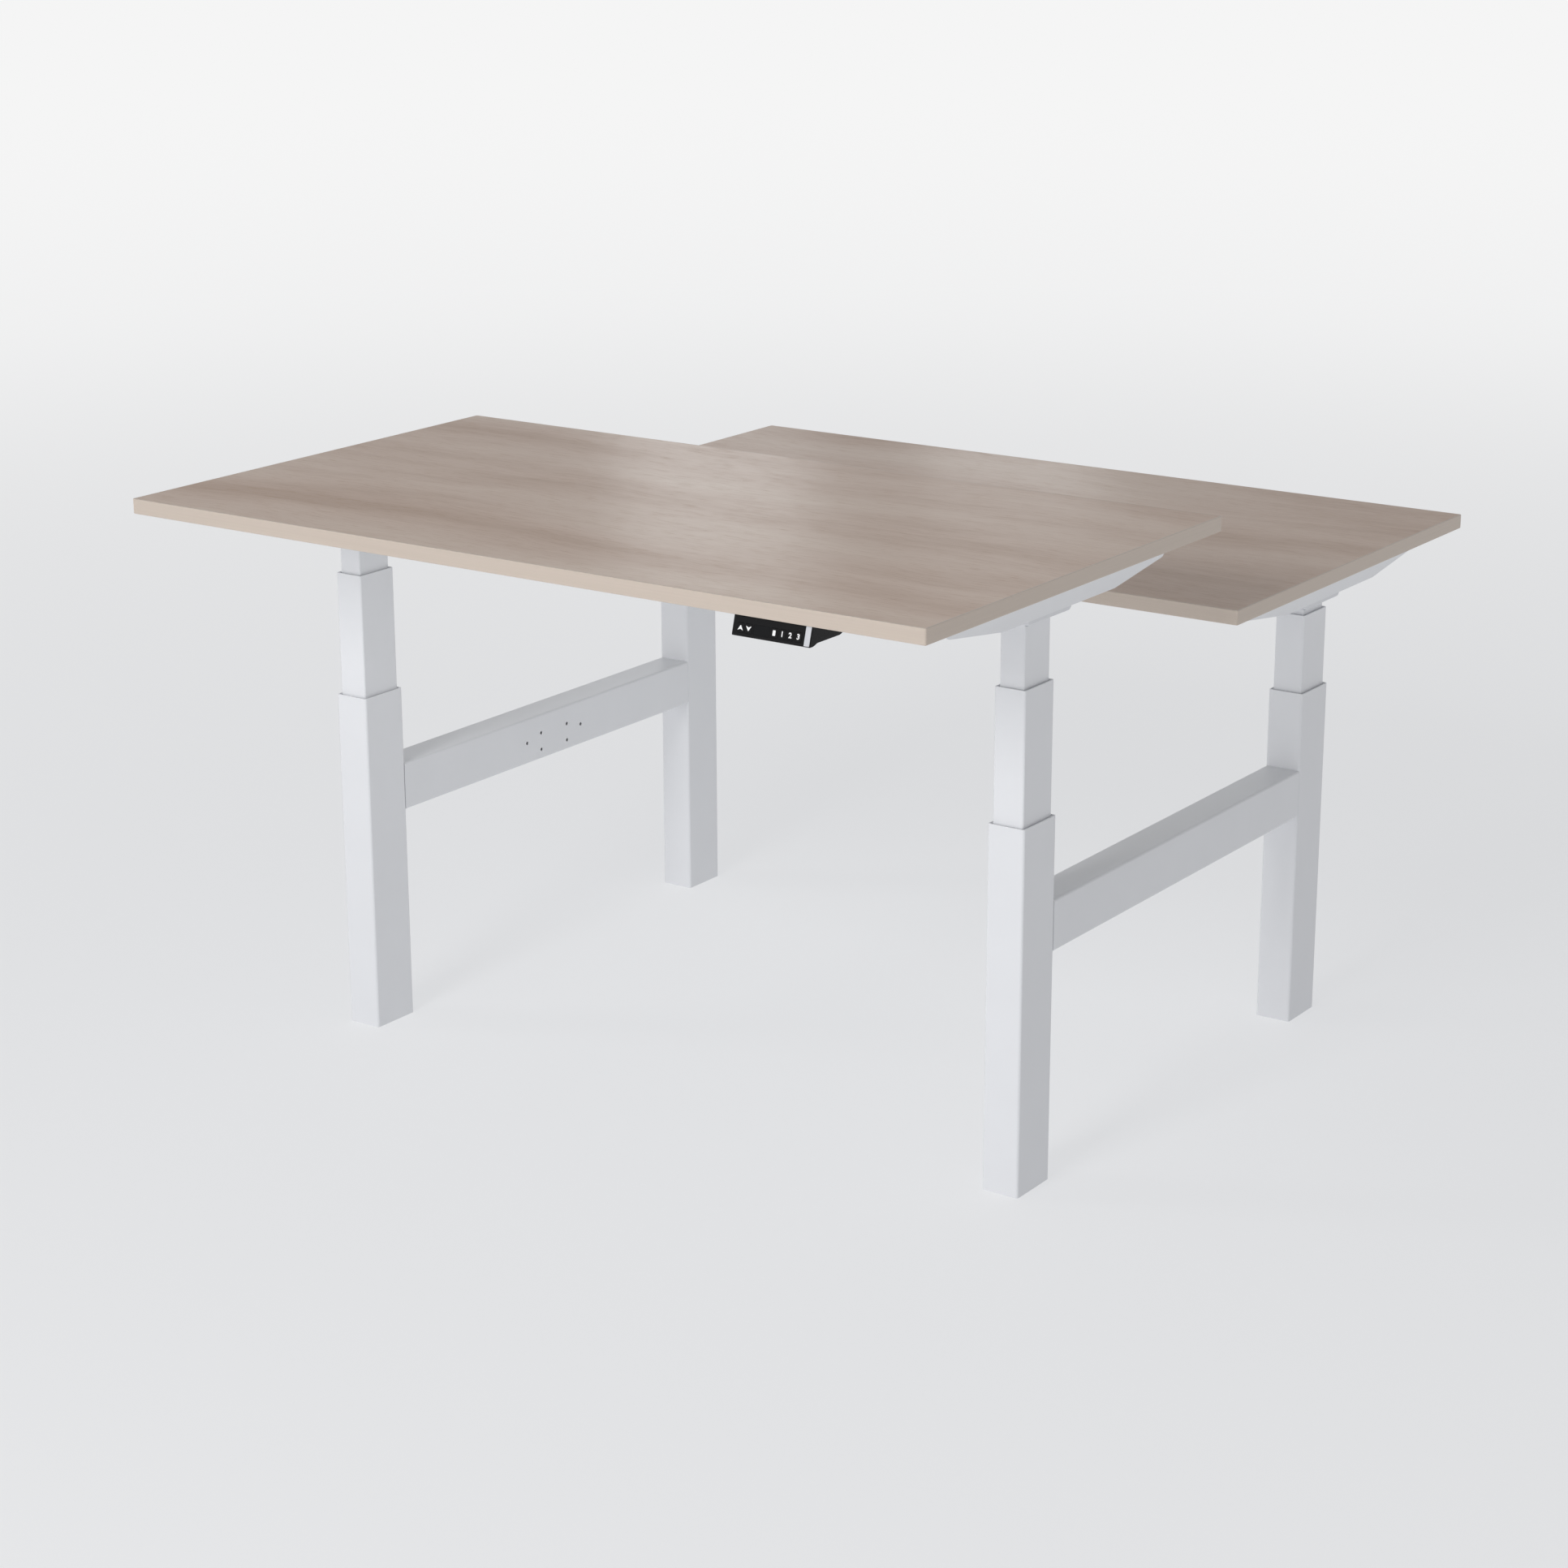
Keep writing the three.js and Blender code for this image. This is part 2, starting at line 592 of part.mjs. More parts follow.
const nearDesk = desk('near', NEAR_TOP_HEIGHT);
nearDesk.position.y = -DESK_OFFSET;
const farDesk = desk('far', FAR_TOP_HEIGHT);
farDesk.position.y = DESK_OFFSET;
farDesk.rotation.z = Math.PI;
bench.add(nearDesk, farDesk);

for (const [end, x] of [['left', -COLUMN_OFFSET], ['right', COLUMN_OFFSET]]) {
  const nearColumn = column(`near_${end}`, NEAR_TOP_HEIGHT, NEAR_INNER_SHOW);
  nearColumn.position.set(x, COLUMN_SHIFT - DESK_OFFSET, 0);
  const farColumn = column(`far_${end}`, FAR_TOP_HEIGHT, FAR_INNER_SHOW);
  farColumn.position.set(x, COLUMN_SHIFT + DESK_OFFSET, 0);
  bench.add(nearColumn, farColumn);
}

const leftBeam = piece('left_tie_beam', tieBeam(), POWDER_COAT);
leftBeam.position.set(-COLUMN_OFFSET, COLUMN_SHIFT, BEAM_TOP - BEAM_HEIGHT / 2);
const rightBeam = piece('right_tie_beam', tieBeam(), POWDER_COAT);
rightBeam.position.set(COLUMN_OFFSET, COLUMN_SHIFT, BEAM_TOP - BEAM_HEIGHT / 2);
rightBeam.rotation.z = Math.PI;
bench.add(leftBeam, rightBeam);

export default bench;
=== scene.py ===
"""Looks of a height-adjustable benching desk for two.

Two oak-look tops stand back to back on white three-stage lifting columns, tied in pairs by beams.
Lengths are in metres in the frame's own axes: +X along the tops, +Y from the near user to the far
user, +Z up, with the origin on the floor in the middle of the bench.
"""

import json
import logging
import math
from dataclasses import dataclass, field
from enum import Enum
from typing import Any, Dict, List, Optional, Sequence, Tuple

import bmesh
import bpy
from mathutils import Matrix, Vector


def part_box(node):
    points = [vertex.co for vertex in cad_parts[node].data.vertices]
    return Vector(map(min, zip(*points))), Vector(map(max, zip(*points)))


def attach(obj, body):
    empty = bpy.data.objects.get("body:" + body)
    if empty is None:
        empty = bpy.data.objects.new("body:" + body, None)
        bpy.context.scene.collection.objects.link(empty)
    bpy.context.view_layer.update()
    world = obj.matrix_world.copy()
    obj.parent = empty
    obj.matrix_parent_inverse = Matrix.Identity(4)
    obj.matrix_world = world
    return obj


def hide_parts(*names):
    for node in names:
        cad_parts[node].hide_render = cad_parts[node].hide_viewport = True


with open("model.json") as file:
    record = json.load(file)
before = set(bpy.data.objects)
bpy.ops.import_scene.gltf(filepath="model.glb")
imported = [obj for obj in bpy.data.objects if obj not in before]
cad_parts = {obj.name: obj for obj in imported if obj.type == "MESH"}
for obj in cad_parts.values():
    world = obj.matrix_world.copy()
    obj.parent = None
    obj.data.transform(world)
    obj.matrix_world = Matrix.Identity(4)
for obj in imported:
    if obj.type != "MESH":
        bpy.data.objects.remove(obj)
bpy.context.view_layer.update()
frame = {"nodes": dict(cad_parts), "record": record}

MM = 0.001
QUARTER = math.pi / 2
SHARP_ANGLE = math.radians(38)
WELD = 0.001 * MM
TINY = 1e-9
MITRE_LIMIT = 0.35
POINTING_DOWN = Matrix.Rotation(2 * QUARTER, 4, "X")
# Blender's Mix node is linked by socket number: its two colours and their mix, and its two plain numbers.
COLOUR_A, COLOUR_B, COLOUR_OUT = 6, 7, 2
NUMBER_A, NUMBER_B = 2, 3
BODY_OF = {node: body for body, nodes in frame["record"]["behaviour"]["bodies"].items() for node in nodes}

Flat = Tuple[float, float]
Point = Tuple[float, float, float]
Ring = List[Point]
log = logging.getLogger("benching_desk")


class Desk(Enum):
    """The two desks of the bench, named from the camera's side."""

    NEAR = "near"
    FAR = "far"


class End(Enum):
    """The two ends of the bench, as the near user sees them."""

    LEFT = "left"
    RIGHT = "right"


class Legend(Enum):
    """What is printed on a key."""

    UP = "up"
    DOWN = "down"
    STORE = "store"
    ONE = "1"
    TWO = "2"
    THREE = "3"


def linear(code: str) -> Tuple[float, float, float, float]:
    """Turns an sRGB hex colour into linear light.

    Args:
        code: Six hex digits.

    Returns:
        Linear red, green and blue, with an alpha of 1.
    """
    channels = [int(code[start:start + 2], 16) / 255 for start in (0, 2, 4)]
    light = [c / 12.92 if c <= 0.04045 else ((c + 0.055) / 1.055) ** 2.4 for c in channels]
    return (light[0], light[1], light[2], 1.0)


def add_node(tree: bpy.types.NodeTree, kind: str, settings: Optional[Dict[str, Any]] = None,
             inputs: Optional[Dict[Any, Any]] = None) -> bpy.types.Node:
    """Adds one node with its settings, values and links.

    Args:
        tree: The node tree.
        kind: The node's type name.
        settings: Attribute values of the node.
        inputs: Socket names or numbers with a value, or with the output socket to link.

    Returns:
        The new node.
    """
    node = tree.nodes.new(kind)
    for key, value in (settings or {}).items():
        setattr(node, key, value)
    for key, value in (inputs or {}).items():
        if isinstance(value, bpy.types.NodeSocket):
            tree.links.new(value, node.inputs[key])
        else:
            node.inputs[key].default_value = value
    return node


def blank_material(name: str) -> Tuple[bpy.types.Material, bpy.types.NodeTree, bpy.types.Node]:
    """Makes a material that holds only its output node.

    Args:
        name: The material's name.

    Returns:
        The material, its tree and the output node.
    """
    material = bpy.data.materials.new(name)
    material.use_nodes = True
    tree = material.node_tree
    tree.nodes.clear()
    return material, tree, add_node(tree, "ShaderNodeOutputMaterial")


@dataclass(frozen=True)
class GrainedCoat:
    """A coat or moulding with a fine even grain, such as an orange peel or a spark-eroded texture."""

    name: str
    colour: str
    shade: str
    roughness: float
    roughness_spread: float
    grain_mm: float
    grain_depth_mm: float
    cloud_mm: float = 90.0
    metallic: float = 0.0
    specular: float = 0.5
    bump: float = 0.6

    def material(self) -> bpy.types.Material:
        """Makes the finish.

        Returns:
            Its node material.
        """
        material, tree, out = blank_material(self.name)
        place = add_node(tree, "ShaderNodeTexCoord").outputs["Object"]
        cloud = add_node(tree, "ShaderNodeTexNoise", inputs={
            "Vector": place, "Scale": 1 / (self.cloud_mm * MM), "Detail": 3.0})
        grain = add_node(tree, "ShaderNodeTexNoise", inputs={
            "Vector": place, "Scale": 1 / (self.grain_mm * MM), "Detail": 2.0})
        tint = add_node(tree, "ShaderNodeMix", {"data_type": "RGBA"}, {
            "Factor": cloud.outputs["Fac"], COLOUR_A: linear(self.colour), COLOUR_B: linear(self.shade)})
        gloss = add_node(tree, "ShaderNodeMapRange", inputs={
            "Value": grain.outputs["Fac"], "To Min": self.roughness - self.roughness_spread,
            "To Max": self.roughness + self.roughness_spread})
        bump = add_node(tree, "ShaderNodeBump", inputs={
            "Height": grain.outputs["Fac"], "Distance": self.grain_depth_mm * MM, "Strength": self.bump})
        shader = add_node(tree, "ShaderNodeBsdfPrincipled", inputs={
            "Base Color": tint.outputs[COLOUR_OUT], "Roughness": gloss.outputs["Result"],
            "Metallic": self.metallic, "Specular IOR Level": self.specular,
            "Normal": bump.outputs["Normal"]})
        tree.links.new(shader.outputs[0], out.inputs[0])
        return material


@dataclass(frozen=True)
class OakLaminate:
    """Melamine-faced board printed as limed oak: broad staves, long streaks and fine pores along X.

    The origin is the spot of the endless print, in metres, that the board was cut from. Real pores are
    about 0.2 mm wide, and are drawn as coarse as they need to show.
    """

    name: str
    origin: Flat
    light: str = "D7C3B2"
    mid: str = "CCB4A2"
    dark: str = "B89B85"
    tones: Point = (0.3, 0.5, 0.7)
    stave_mm: float = 130.0
    stave_length_mm: float = 620.0
    waver_mm: float = 39.0
    waver_length_mm: float = 650.0
    streak_mm: float = 14.0
    streak_length_mm: float = 240.0
    streak_share: float = 0.2
    pore_mm: float = 1.4
    pore_length_mm: float = 34.0
    pore_depth_mm: float = 0.03
    pore_limits: Flat = (0.56, 0.72)
    pore_tint: str = "F0EAE5"
    pore_roughness: float = 0.46
    pore_bump: float = 0.5
    roughness: float = 0.28
    specular: float = 0.06

    def material(self) -> bpy.types.Material:
        """Makes the finish.

        Returns:
            Its node material.
        """
        material, tree, out = blank_material(self.name)
        place = add_node(tree, "ShaderNodeTexCoord").outputs["Object"]
        moved = add_node(tree, "ShaderNodeVectorMath", {"operation": "ADD"}, {
            0: place, 1: (*self.origin, 0.0)}).outputs[0]
        waver = add_node(tree, "ShaderNodeTexNoise", {"normalize": False}, {
            "Vector": moved, "Scale": 1 / (self.waver_length_mm * MM), "Detail": 2.0})
        drift = add_node(tree, "ShaderNodeVectorMath", {"operation": "MULTIPLY_ADD"}, {
            0: waver.outputs["Color"], 1: (0.0, self.waver_mm * MM, 0.0), 2: moved}).outputs[0]
        # Each layer is a noise whose unit is one feature long along X and one feature wide along Y.
        layers: List[bpy.types.NodeSocket] = []
        for length_mm, width_mm, character in (
                (self.stave_length_mm, self.stave_mm,
                 {"Detail": 3.0, "Roughness": 0.45, "Distortion": 0.15}),
                (self.streak_length_mm, self.streak_mm,
                 {"Detail": 5.0, "Roughness": 0.6, "Distortion": 0.2}),
                (self.pore_length_mm, self.pore_mm, {"Detail": 2.0})):
            unit = (1 / (length_mm * MM), 1 / (width_mm * MM), 1 / (width_mm * MM))
            along = add_node(tree, "ShaderNodeVectorMath", {"operation": "MULTIPLY"}, {0: drift, 1: unit})
            layers.append(add_node(tree, "ShaderNodeTexNoise", inputs={
                "Vector": along.outputs[0], "Scale": 1.0, **character}).outputs["Fac"])
        staves, streaks, pores = layers
        tone = add_node(tree, "ShaderNodeMix", {"data_type": "FLOAT"}, {
            "Factor": self.streak_share, NUMBER_A: staves, NUMBER_B: streaks})
        ramp = add_node(tree, "ShaderNodeValToRGB", inputs={"Fac": tone.outputs[0]})
        stops = ramp.color_ramp.elements
        stops[0].position, stops[0].color = self.tones[0], linear(self.dark)
        stops[1].position, stops[1].color = self.tones[2], linear(self.light)
        stops.new(self.tones[1]).color = linear(self.mid)
        pits = add_node(tree, "ShaderNodeMapRange", inputs={
            "Value": pores, "From Min": self.pore_limits[0], "From Max": self.pore_limits[1]})
        face = add_node(tree, "ShaderNodeMix", {"data_type": "RGBA", "blend_type": "MULTIPLY"}, {
            "Factor": pits.outputs["Result"], COLOUR_A: ramp.outputs["Color"],
            COLOUR_B: linear(self.pore_tint)})
        gloss = add_node(tree, "ShaderNodeMapRange", inputs={
            "Value": pits.outputs["Result"], "To Min": self.roughness, "To Max": self.pore_roughness})
        bump = add_node(tree, "ShaderNodeBump", {"invert": True}, {
            "Height": pits.outputs["Result"], "Distance": self.pore_depth_mm * MM,
            "Strength": self.pore_bump})
        shader = add_node(tree, "ShaderNodeBsdfPrincipled", inputs={
            "Base Color": face.outputs[COLOUR_OUT], "Roughness": gloss.outputs["Result"],
            "Specular IOR Level": self.specular, "Normal": bump.outputs["Normal"]})
        tree.links.new(shader.outputs[0], out.inputs[0])
        return material


@dataclass(frozen=True)
class EdgeBand:
    """ABS edging glued round the board, paler than its face, with a faint print of long grain."""

    name: str = "pale_oak_abs_edging"
    light: str = "C8BBAF"
    dark: str = "BDB0A4"
    line_mm: float = 2.4
    line_length_mm: float = 260.0
    line_depth_mm: float = 0.02
    roughness: float = 0.44
    roughness_spread: float = 0.05
    bump: float = 0.4

    def material(self) -> bpy.types.Material:
        """Makes the finish.

        Returns:
            Its node material.
        """
        material, tree, out = blank_material(self.name)
        place = add_node(tree, "ShaderNodeTexCoord").outputs["Object"]
        along = 1 / (self.line_length_mm * MM)
        across = add_node(tree, "ShaderNodeVectorMath", {"operation": "MULTIPLY"}, {
            0: place, 1: (along, along, 1 / (self.line_mm * MM))})
        lines = add_node(tree, "ShaderNodeTexNoise", inputs={
            "Vector": across.outputs[0], "Scale": 1.0, "Detail": 4.0, "Roughness": 0.55}).outputs["Fac"]
        tint = add_node(tree, "ShaderNodeMix", {"data_type": "RGBA"}, {
            "Factor": lines, COLOUR_A: linear(self.dark), COLOUR_B: linear(self.light)})
        gloss = add_node(tree, "ShaderNodeMapRange", inputs={
            "Value": lines, "To Min": self.roughness - self.roughness_spread,
            "To Max": self.roughness + self.roughness_spread})
        bump = add_node(tree, "ShaderNodeBump", inputs={
            "Height": lines, "Distance": self.line_depth_mm * MM, "Strength": self.bump})
        shader = add_node(tree, "ShaderNodeBsdfPrincipled", inputs={
            "Base Color": tint.outputs[COLOUR_OUT], "Roughness": gloss.outputs["Result"],
            "Normal": bump.outputs["Normal"]})
        tree.links.new(shader.outputs[0], out.inputs[0])
        return material


@dataclass(frozen=True)
class Finishes:
    """Every material of the bench, made once.

    A coat's numbers are its roughness, the spread of that, its grain and the grain's depth in mm.
    """

    # Polyester powder coat, sprayed and baked: an even white with a soft orange peel and a satin sheen.
    frame: bpy.types.Material = field(default_factory=GrainedCoat(
        "white_powder_coat", "E2E3E6", "DDDEE1", 0.46, 0.05, 1.8, 0.012).material)
    # ABS edging, extruded and printed: a pale matt band with faint lines along the board.
    edge: bpy.types.Material = field(default_factory=EdgeBand().material)
    # Melamine backing pressed on the board's underside: a dull white with a fine pearl.
    backing: bpy.types.Material = field(default_factory=GrainedCoat(
        "white_melamine_backing", "EAEAE7", "E5E5E2", 0.52, 0.06, 1.2, 0.01).material)
    # Oak print under melamine, pressed by smooth plates: pale and dry, with a low even shine.
    oak: Dict[Desk, bpy.types.Material] = field(default_factory=lambda: {
        Desk.NEAR: OakLaminate("limed_oak_laminate_near", (3.1, 8.37)).material(),
        Desk.FAR: OakLaminate("limed_oak_laminate_far", (26.3, 71.01)).material()})
    # Acetal glide, injection moulded: grey, slippery and dull.
    glide: bpy.types.Material = field(default_factory=GrainedCoat(
        "grey_acetal", "D3D5D8", "CBCDD1", 0.5, 0.06, 2.0, 0.01).material)
    # ABS moulded in a polished tool: deep black with a clear shine.
    gloss_black: bpy.types.Material = field(default_factory=GrainedCoat(
        "polished_black_abs", "151516", "121213", 0.26, 0.04, 3.0, 0.004, specular=0.12).material)
    # ABS moulded in a spark-eroded tool: black with a dull grain, which is drawn coarser so that it shows.
    satin_black: bpy.types.Material = field(default_factory=GrainedCoat(
        "grained_black_abs", "222224", "1C1C1E", 0.5, 0.07, 0.9, 0.03, specular=0.25).material)
    # Smoked acrylic over an unlit display: near black and mirror smooth.
    window: bpy.types.Material = field(default_factory=GrainedCoat(
        "smoked_acrylic", "111214", "0F1011", 0.14, 0.02, 4.0, 0.001, specular=0.14).material)
    # Screen-printed ink: a flat white, with the mesh's print drawn coarser so that it shows.
    print_white: bpy.types.Material = field(default_factory=GrainedCoat(
        "white_ink", "F2F2F2", "ECECEC", 0.55, 0.05, 0.6, 0.004).material)
    # Pale silver sheet at the end of the handset's face: a painted highlight where the glossy end catches
    # the light, with its fine grain drawn coarser so that it shows.
    painted_glint_finish: bpy.types.Material = field(default_factory=GrainedCoat(
        "pale_sheet_painted_highlight", "CDCED2", "C3C4C9", 0.34, 0.05, 0.8, 0.004).material)
    # Zinc plate on steel fasteners and motor cans: cool grey with a soft shine.
    zinc: bpy.types.Material = field(default_factory=GrainedCoat(
        "bright_zinc_plate", "C3C6CA", "AEB2B8", 0.32, 0.08, 2.5, 0.006,
        cloud_mm=12.0, metallic=1.0).material)
    # Drawn and rolled steel of the lifting screws: darker grey with an oily shine.
    steel: bpy.types.Material = field(default_factory=GrainedCoat(
        "rolled_steel", "8E9195", "7C7F84", 0.34, 0.08, 1.2, 0.01, cloud_mm=20.0, metallic=1.0).material)
    # Painted zinc die casting: pale grey with the casting's soft skin.
    casting: bpy.types.Material = field(default_factory=GrainedCoat(
        "painted_die_casting", "DADBDE", "D2D3D7", 0.52, 0.06, 1.4, 0.03).material)


def shift(x: float, y: float, z: float) -> Matrix:
    """Matrix of a move along the axes."""
    return Matrix.Translation((x, y, z))


def corners_of(node: str) -> Tuple[Vector, Vector]:
    """Lowest and highest corner of a node at rest."""
    low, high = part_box(node)
    return Vector(low), Vector(high)


def round_rectangle(width: float, depth: float, radius: float, steps: int = 7) -> List[Flat]:
    """Outline of a rectangle with round corners, anticlockwise round the origin.

    Args:
        width: Size along the first axis.
        depth: Size along the second axis.
        radius: Radius of the corners.
        steps: Facets of each corner.

    Returns:
        The outline's points.
    """
    points: List[Flat] = []
    for quarter, (side_x, side_y) in enumerate(((1, 1), (-1, 1), (-1, -1), (1, -1))):
        for step in range(steps + 1):
            angle = QUARTER * (quarter + step / steps)
            points.append((side_x * (width / 2 - radius) + radius * math.cos(angle),
                           side_y * (depth / 2 - radius) + radius * math.sin(angle)))
    return points


def circle(radius: float, steps: int = 32, sides: int = 0) -> List[Flat]:
    """Outline of a circle, or of a polygon with the same number of points.

    Args:
        radius: Radius of the circle, or of the circle inside the polygon.
        steps: Points in all.
        sides: Sides of the polygon, or 0 for a circle.

    Returns:
        The outline's points.
    """
    points: List[Flat] = []
    for step in range(steps):
        angle = 4 * QUARTER * step / steps
        reach = radius
        if sides:
            half = 2 * QUARTER / sides
            reach = radius / math.cos((angle % (2 * half)) - half)
        points.append((reach * math.cos(angle), reach * math.sin(angle)))
    return points


def soft_outline(corners: Sequence[Point], steps: int = 5) -> List[Flat]:
    """Outline through corners that are each rounded off.

    Args:
        corners: Points with the distance from the corner at which its curve starts, 0 for a sharp one.
        steps: Facets of each curve.

    Returns:
        The outline's points.
    """
    points: List[Flat] = []
    for index, (x, y, reach) in enumerate(corners):
        corner = Vector((x, y))
        if reach == 0:
            points.append((x, y))
            continue
        before = Vector(corners[index - 1][:2]) - corner
        after = Vector(corners[(index + 1) % len(corners)][:2]) - corner
        start = corner + before.normalized() * reach
        end = corner + after.normalized() * reach
        for step in range(steps + 1):
            t = step / steps
            spot = start * (1 - t) ** 2 + corner * 2 * t * (1 - t) + end * t ** 2
            points.append((spot.x, spot.y))
    return points


def inset(outline: Sequence[Flat], distance: float) -> List[Flat]:
    """Moves every side of an anticlockwise outline inwards.

    Args:
        outline: The outline's points.
        distance: How far the sides move.

    Returns:
        The new outline, with as many points.
    """
    moved: List[Flat] = []
    count = len(outline)
    for index in range(count):
        here = Vector(outline[index])
        to_here = (here - Vector(outline[index - 1])).normalized()
        from_here = (Vector(outline[(index + 1) % count]) - here).normalized()
        normal = Vector((-to_here.y - from_here.y, to_here.x + from_here.x))
        if normal.length < TINY:
            normal = Vector((-to_here.y, to_here.x))
        normal.normalize()
        spread = max(MITRE_LIMIT, normal.dot(Vector((-to_here.y, to_here.x))))
        spot = here + normal * (distance / spread)
        moved.append((spot.x, spot.y))
    return moved


def flat_ring(outline: Sequence[Flat], z: float) -> Ring:
    """An outline laid level at a height."""
    return [(x, y, z) for x, y in outline]


def soft_steps(height: float, edge: float, steps: int = 4) -> List[Flat]:
    """Insets and heights up the side of a block whose lower and upper edges are rounded.

    Args:
        height: Height of the block.
        edge: Radius of the edges.
        steps: Facets of each edge.

    Returns:
        Pairs of inset and height, from the bottom up.
    """
    pairs: List[Flat] = []
    for step in range(steps + 1):
        angle = QUARTER * step / steps
        pairs.append((edge * (1 - math.sin(angle)), edge * (1 - math.cos(angle))))
    return pairs + [(gap, height - rise) for gap, rise in reversed(pairs)]


def sharpen(mesh: bmesh.types.BMesh) -> None:
    """Marks the edges of a mesh at which its smooth shading breaks."""
    for edge in mesh.edges:
        edge.smooth = not (edge.is_manifold and edge.calc_face_angle() > SHARP_ANGLE)


class Draft:
    """A mesh in the making, skinned from rings of points and then turned into a piece."""

    def __init__(self) -> None:
        """Starts an empty mesh."""
        self.mesh = bmesh.new()

    def skin(self, rings: Sequence[Ring], caps: bool = True, loop: bool = False,
             slots: Optional[Sequence[int]] = None, place: Optional[Matrix] = None) -> "Draft":
        """Skins a row of rings that have equally many points.

        Args:
            rings: The rings, in order.
            caps: Whether the first and last rings are closed by a face.
            loop: Whether the last ring joins the first.
            slots: Material numbers: first cap, each band, last cap.
            place: Where the rings go, or None for where they are.

        Returns:
            The draft itself.
        """
        place = place or Matrix()
        rows = [[self.mesh.verts.new(place @ Vector(point)) for point in ring] for ring in rings]
        numbers = list(slots or [0] * (len(rows) + 1))
        bands = list(zip(rows, rows[1:] + rows[:1])) if loop else list(zip(rows, rows[1:]))
        for number, (low, high) in zip(numbers[1:] if not loop else numbers, bands):
            for index in range(len(low)):
                after = (index + 1) % len(low)
                face = self.mesh.faces.new((low[index], low[after], high[after], high[index]))
                face.material_index = number
        if caps and not loop:
            self.mesh.faces.new(list(reversed(rows[0]))).material_index = numbers[0]
            self.mesh.faces.new(rows[-1]).material_index = numbers[-1]
        return self

    def block(self, outline: Sequence[Flat], height: float, edge: float, place: Optional[Matrix] = None,
              steps: int = 4) -> "Draft":
        """Skins a block that stands on z = 0, with its lower and upper edges rounded.

        Args:
            outline: The block's outline.
            height: Its height.
            edge: Radius of its edges.
            place: Where it goes.
            steps: Facets of each edge.

        Returns:
            The draft itself.
        """
        rings = [flat_ring(inset(outline, gap), z) for gap, z in soft_steps(height, edge, steps)]
        return self.skin(rings, place=place)

    def turned(self, profile: Sequence[Flat], place: Optional[Matrix] = None, steps: int = 32) -> "Draft":
        """Skins a turned shape about Z.

        Args:
            profile: Pairs of radius and height, from one end to the other.
            place: Where it goes.
            steps: Facets round it.

        Returns:
            The draft itself.
        """
        return self.skin([flat_ring(circle(radius, steps), z) for radius, z in profile], place=place)

    def screw(self, radius: float, height: float, place: Matrix) -> "Draft":
        """Skins the domed head of a socket screw that stands on z = 0.

        Args:
            radius: Radius of the head.
            height: Height of the head.
            place: Where it goes.

        Returns:
            The draft itself.
        """
        steps = 24
        rim = 0.35 * height
        socket = circle(0.45 * radius, steps, sides=6)
        rings = [flat_ring(circle(radius, steps), z) for z in (0.0, rim)]
        for turn in (0.3, 0.6, 0.9):
            dome = circle(radius * math.cos(0.9 * turn), steps)
            rings.append(flat_ring(dome, rim + (height - rim) * math.sin(turn)))
        rings += [flat_ring(socket, z) for z in (height, 0.3 * height)]
        return self.skin(rings, place=place)

    def object(self, name: str) -> bpy.types.Object:
        """Turns the draft into an object in the scene, smooth except over sharp edges.

        Args:
            name: The object's name.

        Returns:
            The object.
        """
        bmesh.ops.recalc_face_normals(self.mesh, faces=self.mesh.faces)
        for face in self.mesh.faces:
            face.smooth = True
        sharpen(self.mesh)
        data = bpy.data.meshes.new(name)
        self.mesh.to_mesh(data)
        self.mesh.free()
        made = bpy.data.objects.new(name, data)
        bpy.context.scene.collection.objects.link(made)
        return made

    def piece(self, name: str, body: str, slot: str, *materials: bpy.types.Material,
              replaces: Sequence[str] = (), place: Optional[Matrix] = None,
              cutters: Sequence["Draft"] = ()) -> bpy.types.Object:
        """Turns the draft into a finished piece that rides a body.

        Args:
            name: The piece's name.
            body: The body it moves with.
            slot: The record's material slot, which is not used.
            materials: Its materials, by number.
            replaces: The nodes that it stands for.
            place: Its place in the frame.
            cutters: Drafts that are cut out of it.

        Returns:
            The piece.
        """
        made = self.object(name)
        for material in materials:
            made.data.materials.append(material)
        for cutter in cutters:
            cut_out(made, cutter)
        even = made.modifiers.new("even_shading", "WEIGHTED_NORMAL")
        even.keep_sharp = True
        if place is not None:
            made.matrix_world = place
            bpy.context.view_layer.update()
        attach(made, body)
        if replaces:
            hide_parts(*replaces)
        log.info("%s rides %s", name, body)
        return made


def cut_out(piece: bpy.types.Object, cutter: Draft) -> None:
    """Cuts a draft out of a piece and leaves the result in its mesh.

    Args:
        piece: The piece to cut.
        cutter: The draft to take away.
    """
    tool = cutter.object(f"{piece.name}_cutter")
    cut = piece.modifiers.new("cut", "BOOLEAN")
    cut.operation = "DIFFERENCE"
    cut.solver = "EXACT"
    cut.object = tool
    graph = bpy.context.evaluated_depsgraph_get()
    result = bpy.data.meshes.new_from_object(piece.evaluated_get(graph))
    piece.modifiers.remove(cut)
    old, piece.data = piece.data, result
    bpy.data.meshes.remove(old)
    bpy.data.objects.remove(tool)
    shape = bmesh.new()
    shape.from_mesh(result)
    sharpen(shape)
    shape.to_mesh(result)
    shape.free()


def dress(node: str, material: bpy.types.Material) -> None:
    """Gives a node that stays as it is its finish.

    Args:
        node: The node's name.
        material: The finish.
    """
    shown = frame["nodes"][node]
    for spot in shown.material_slots:
        spot.material = material
    log.info("%s keeps its own shape", node)


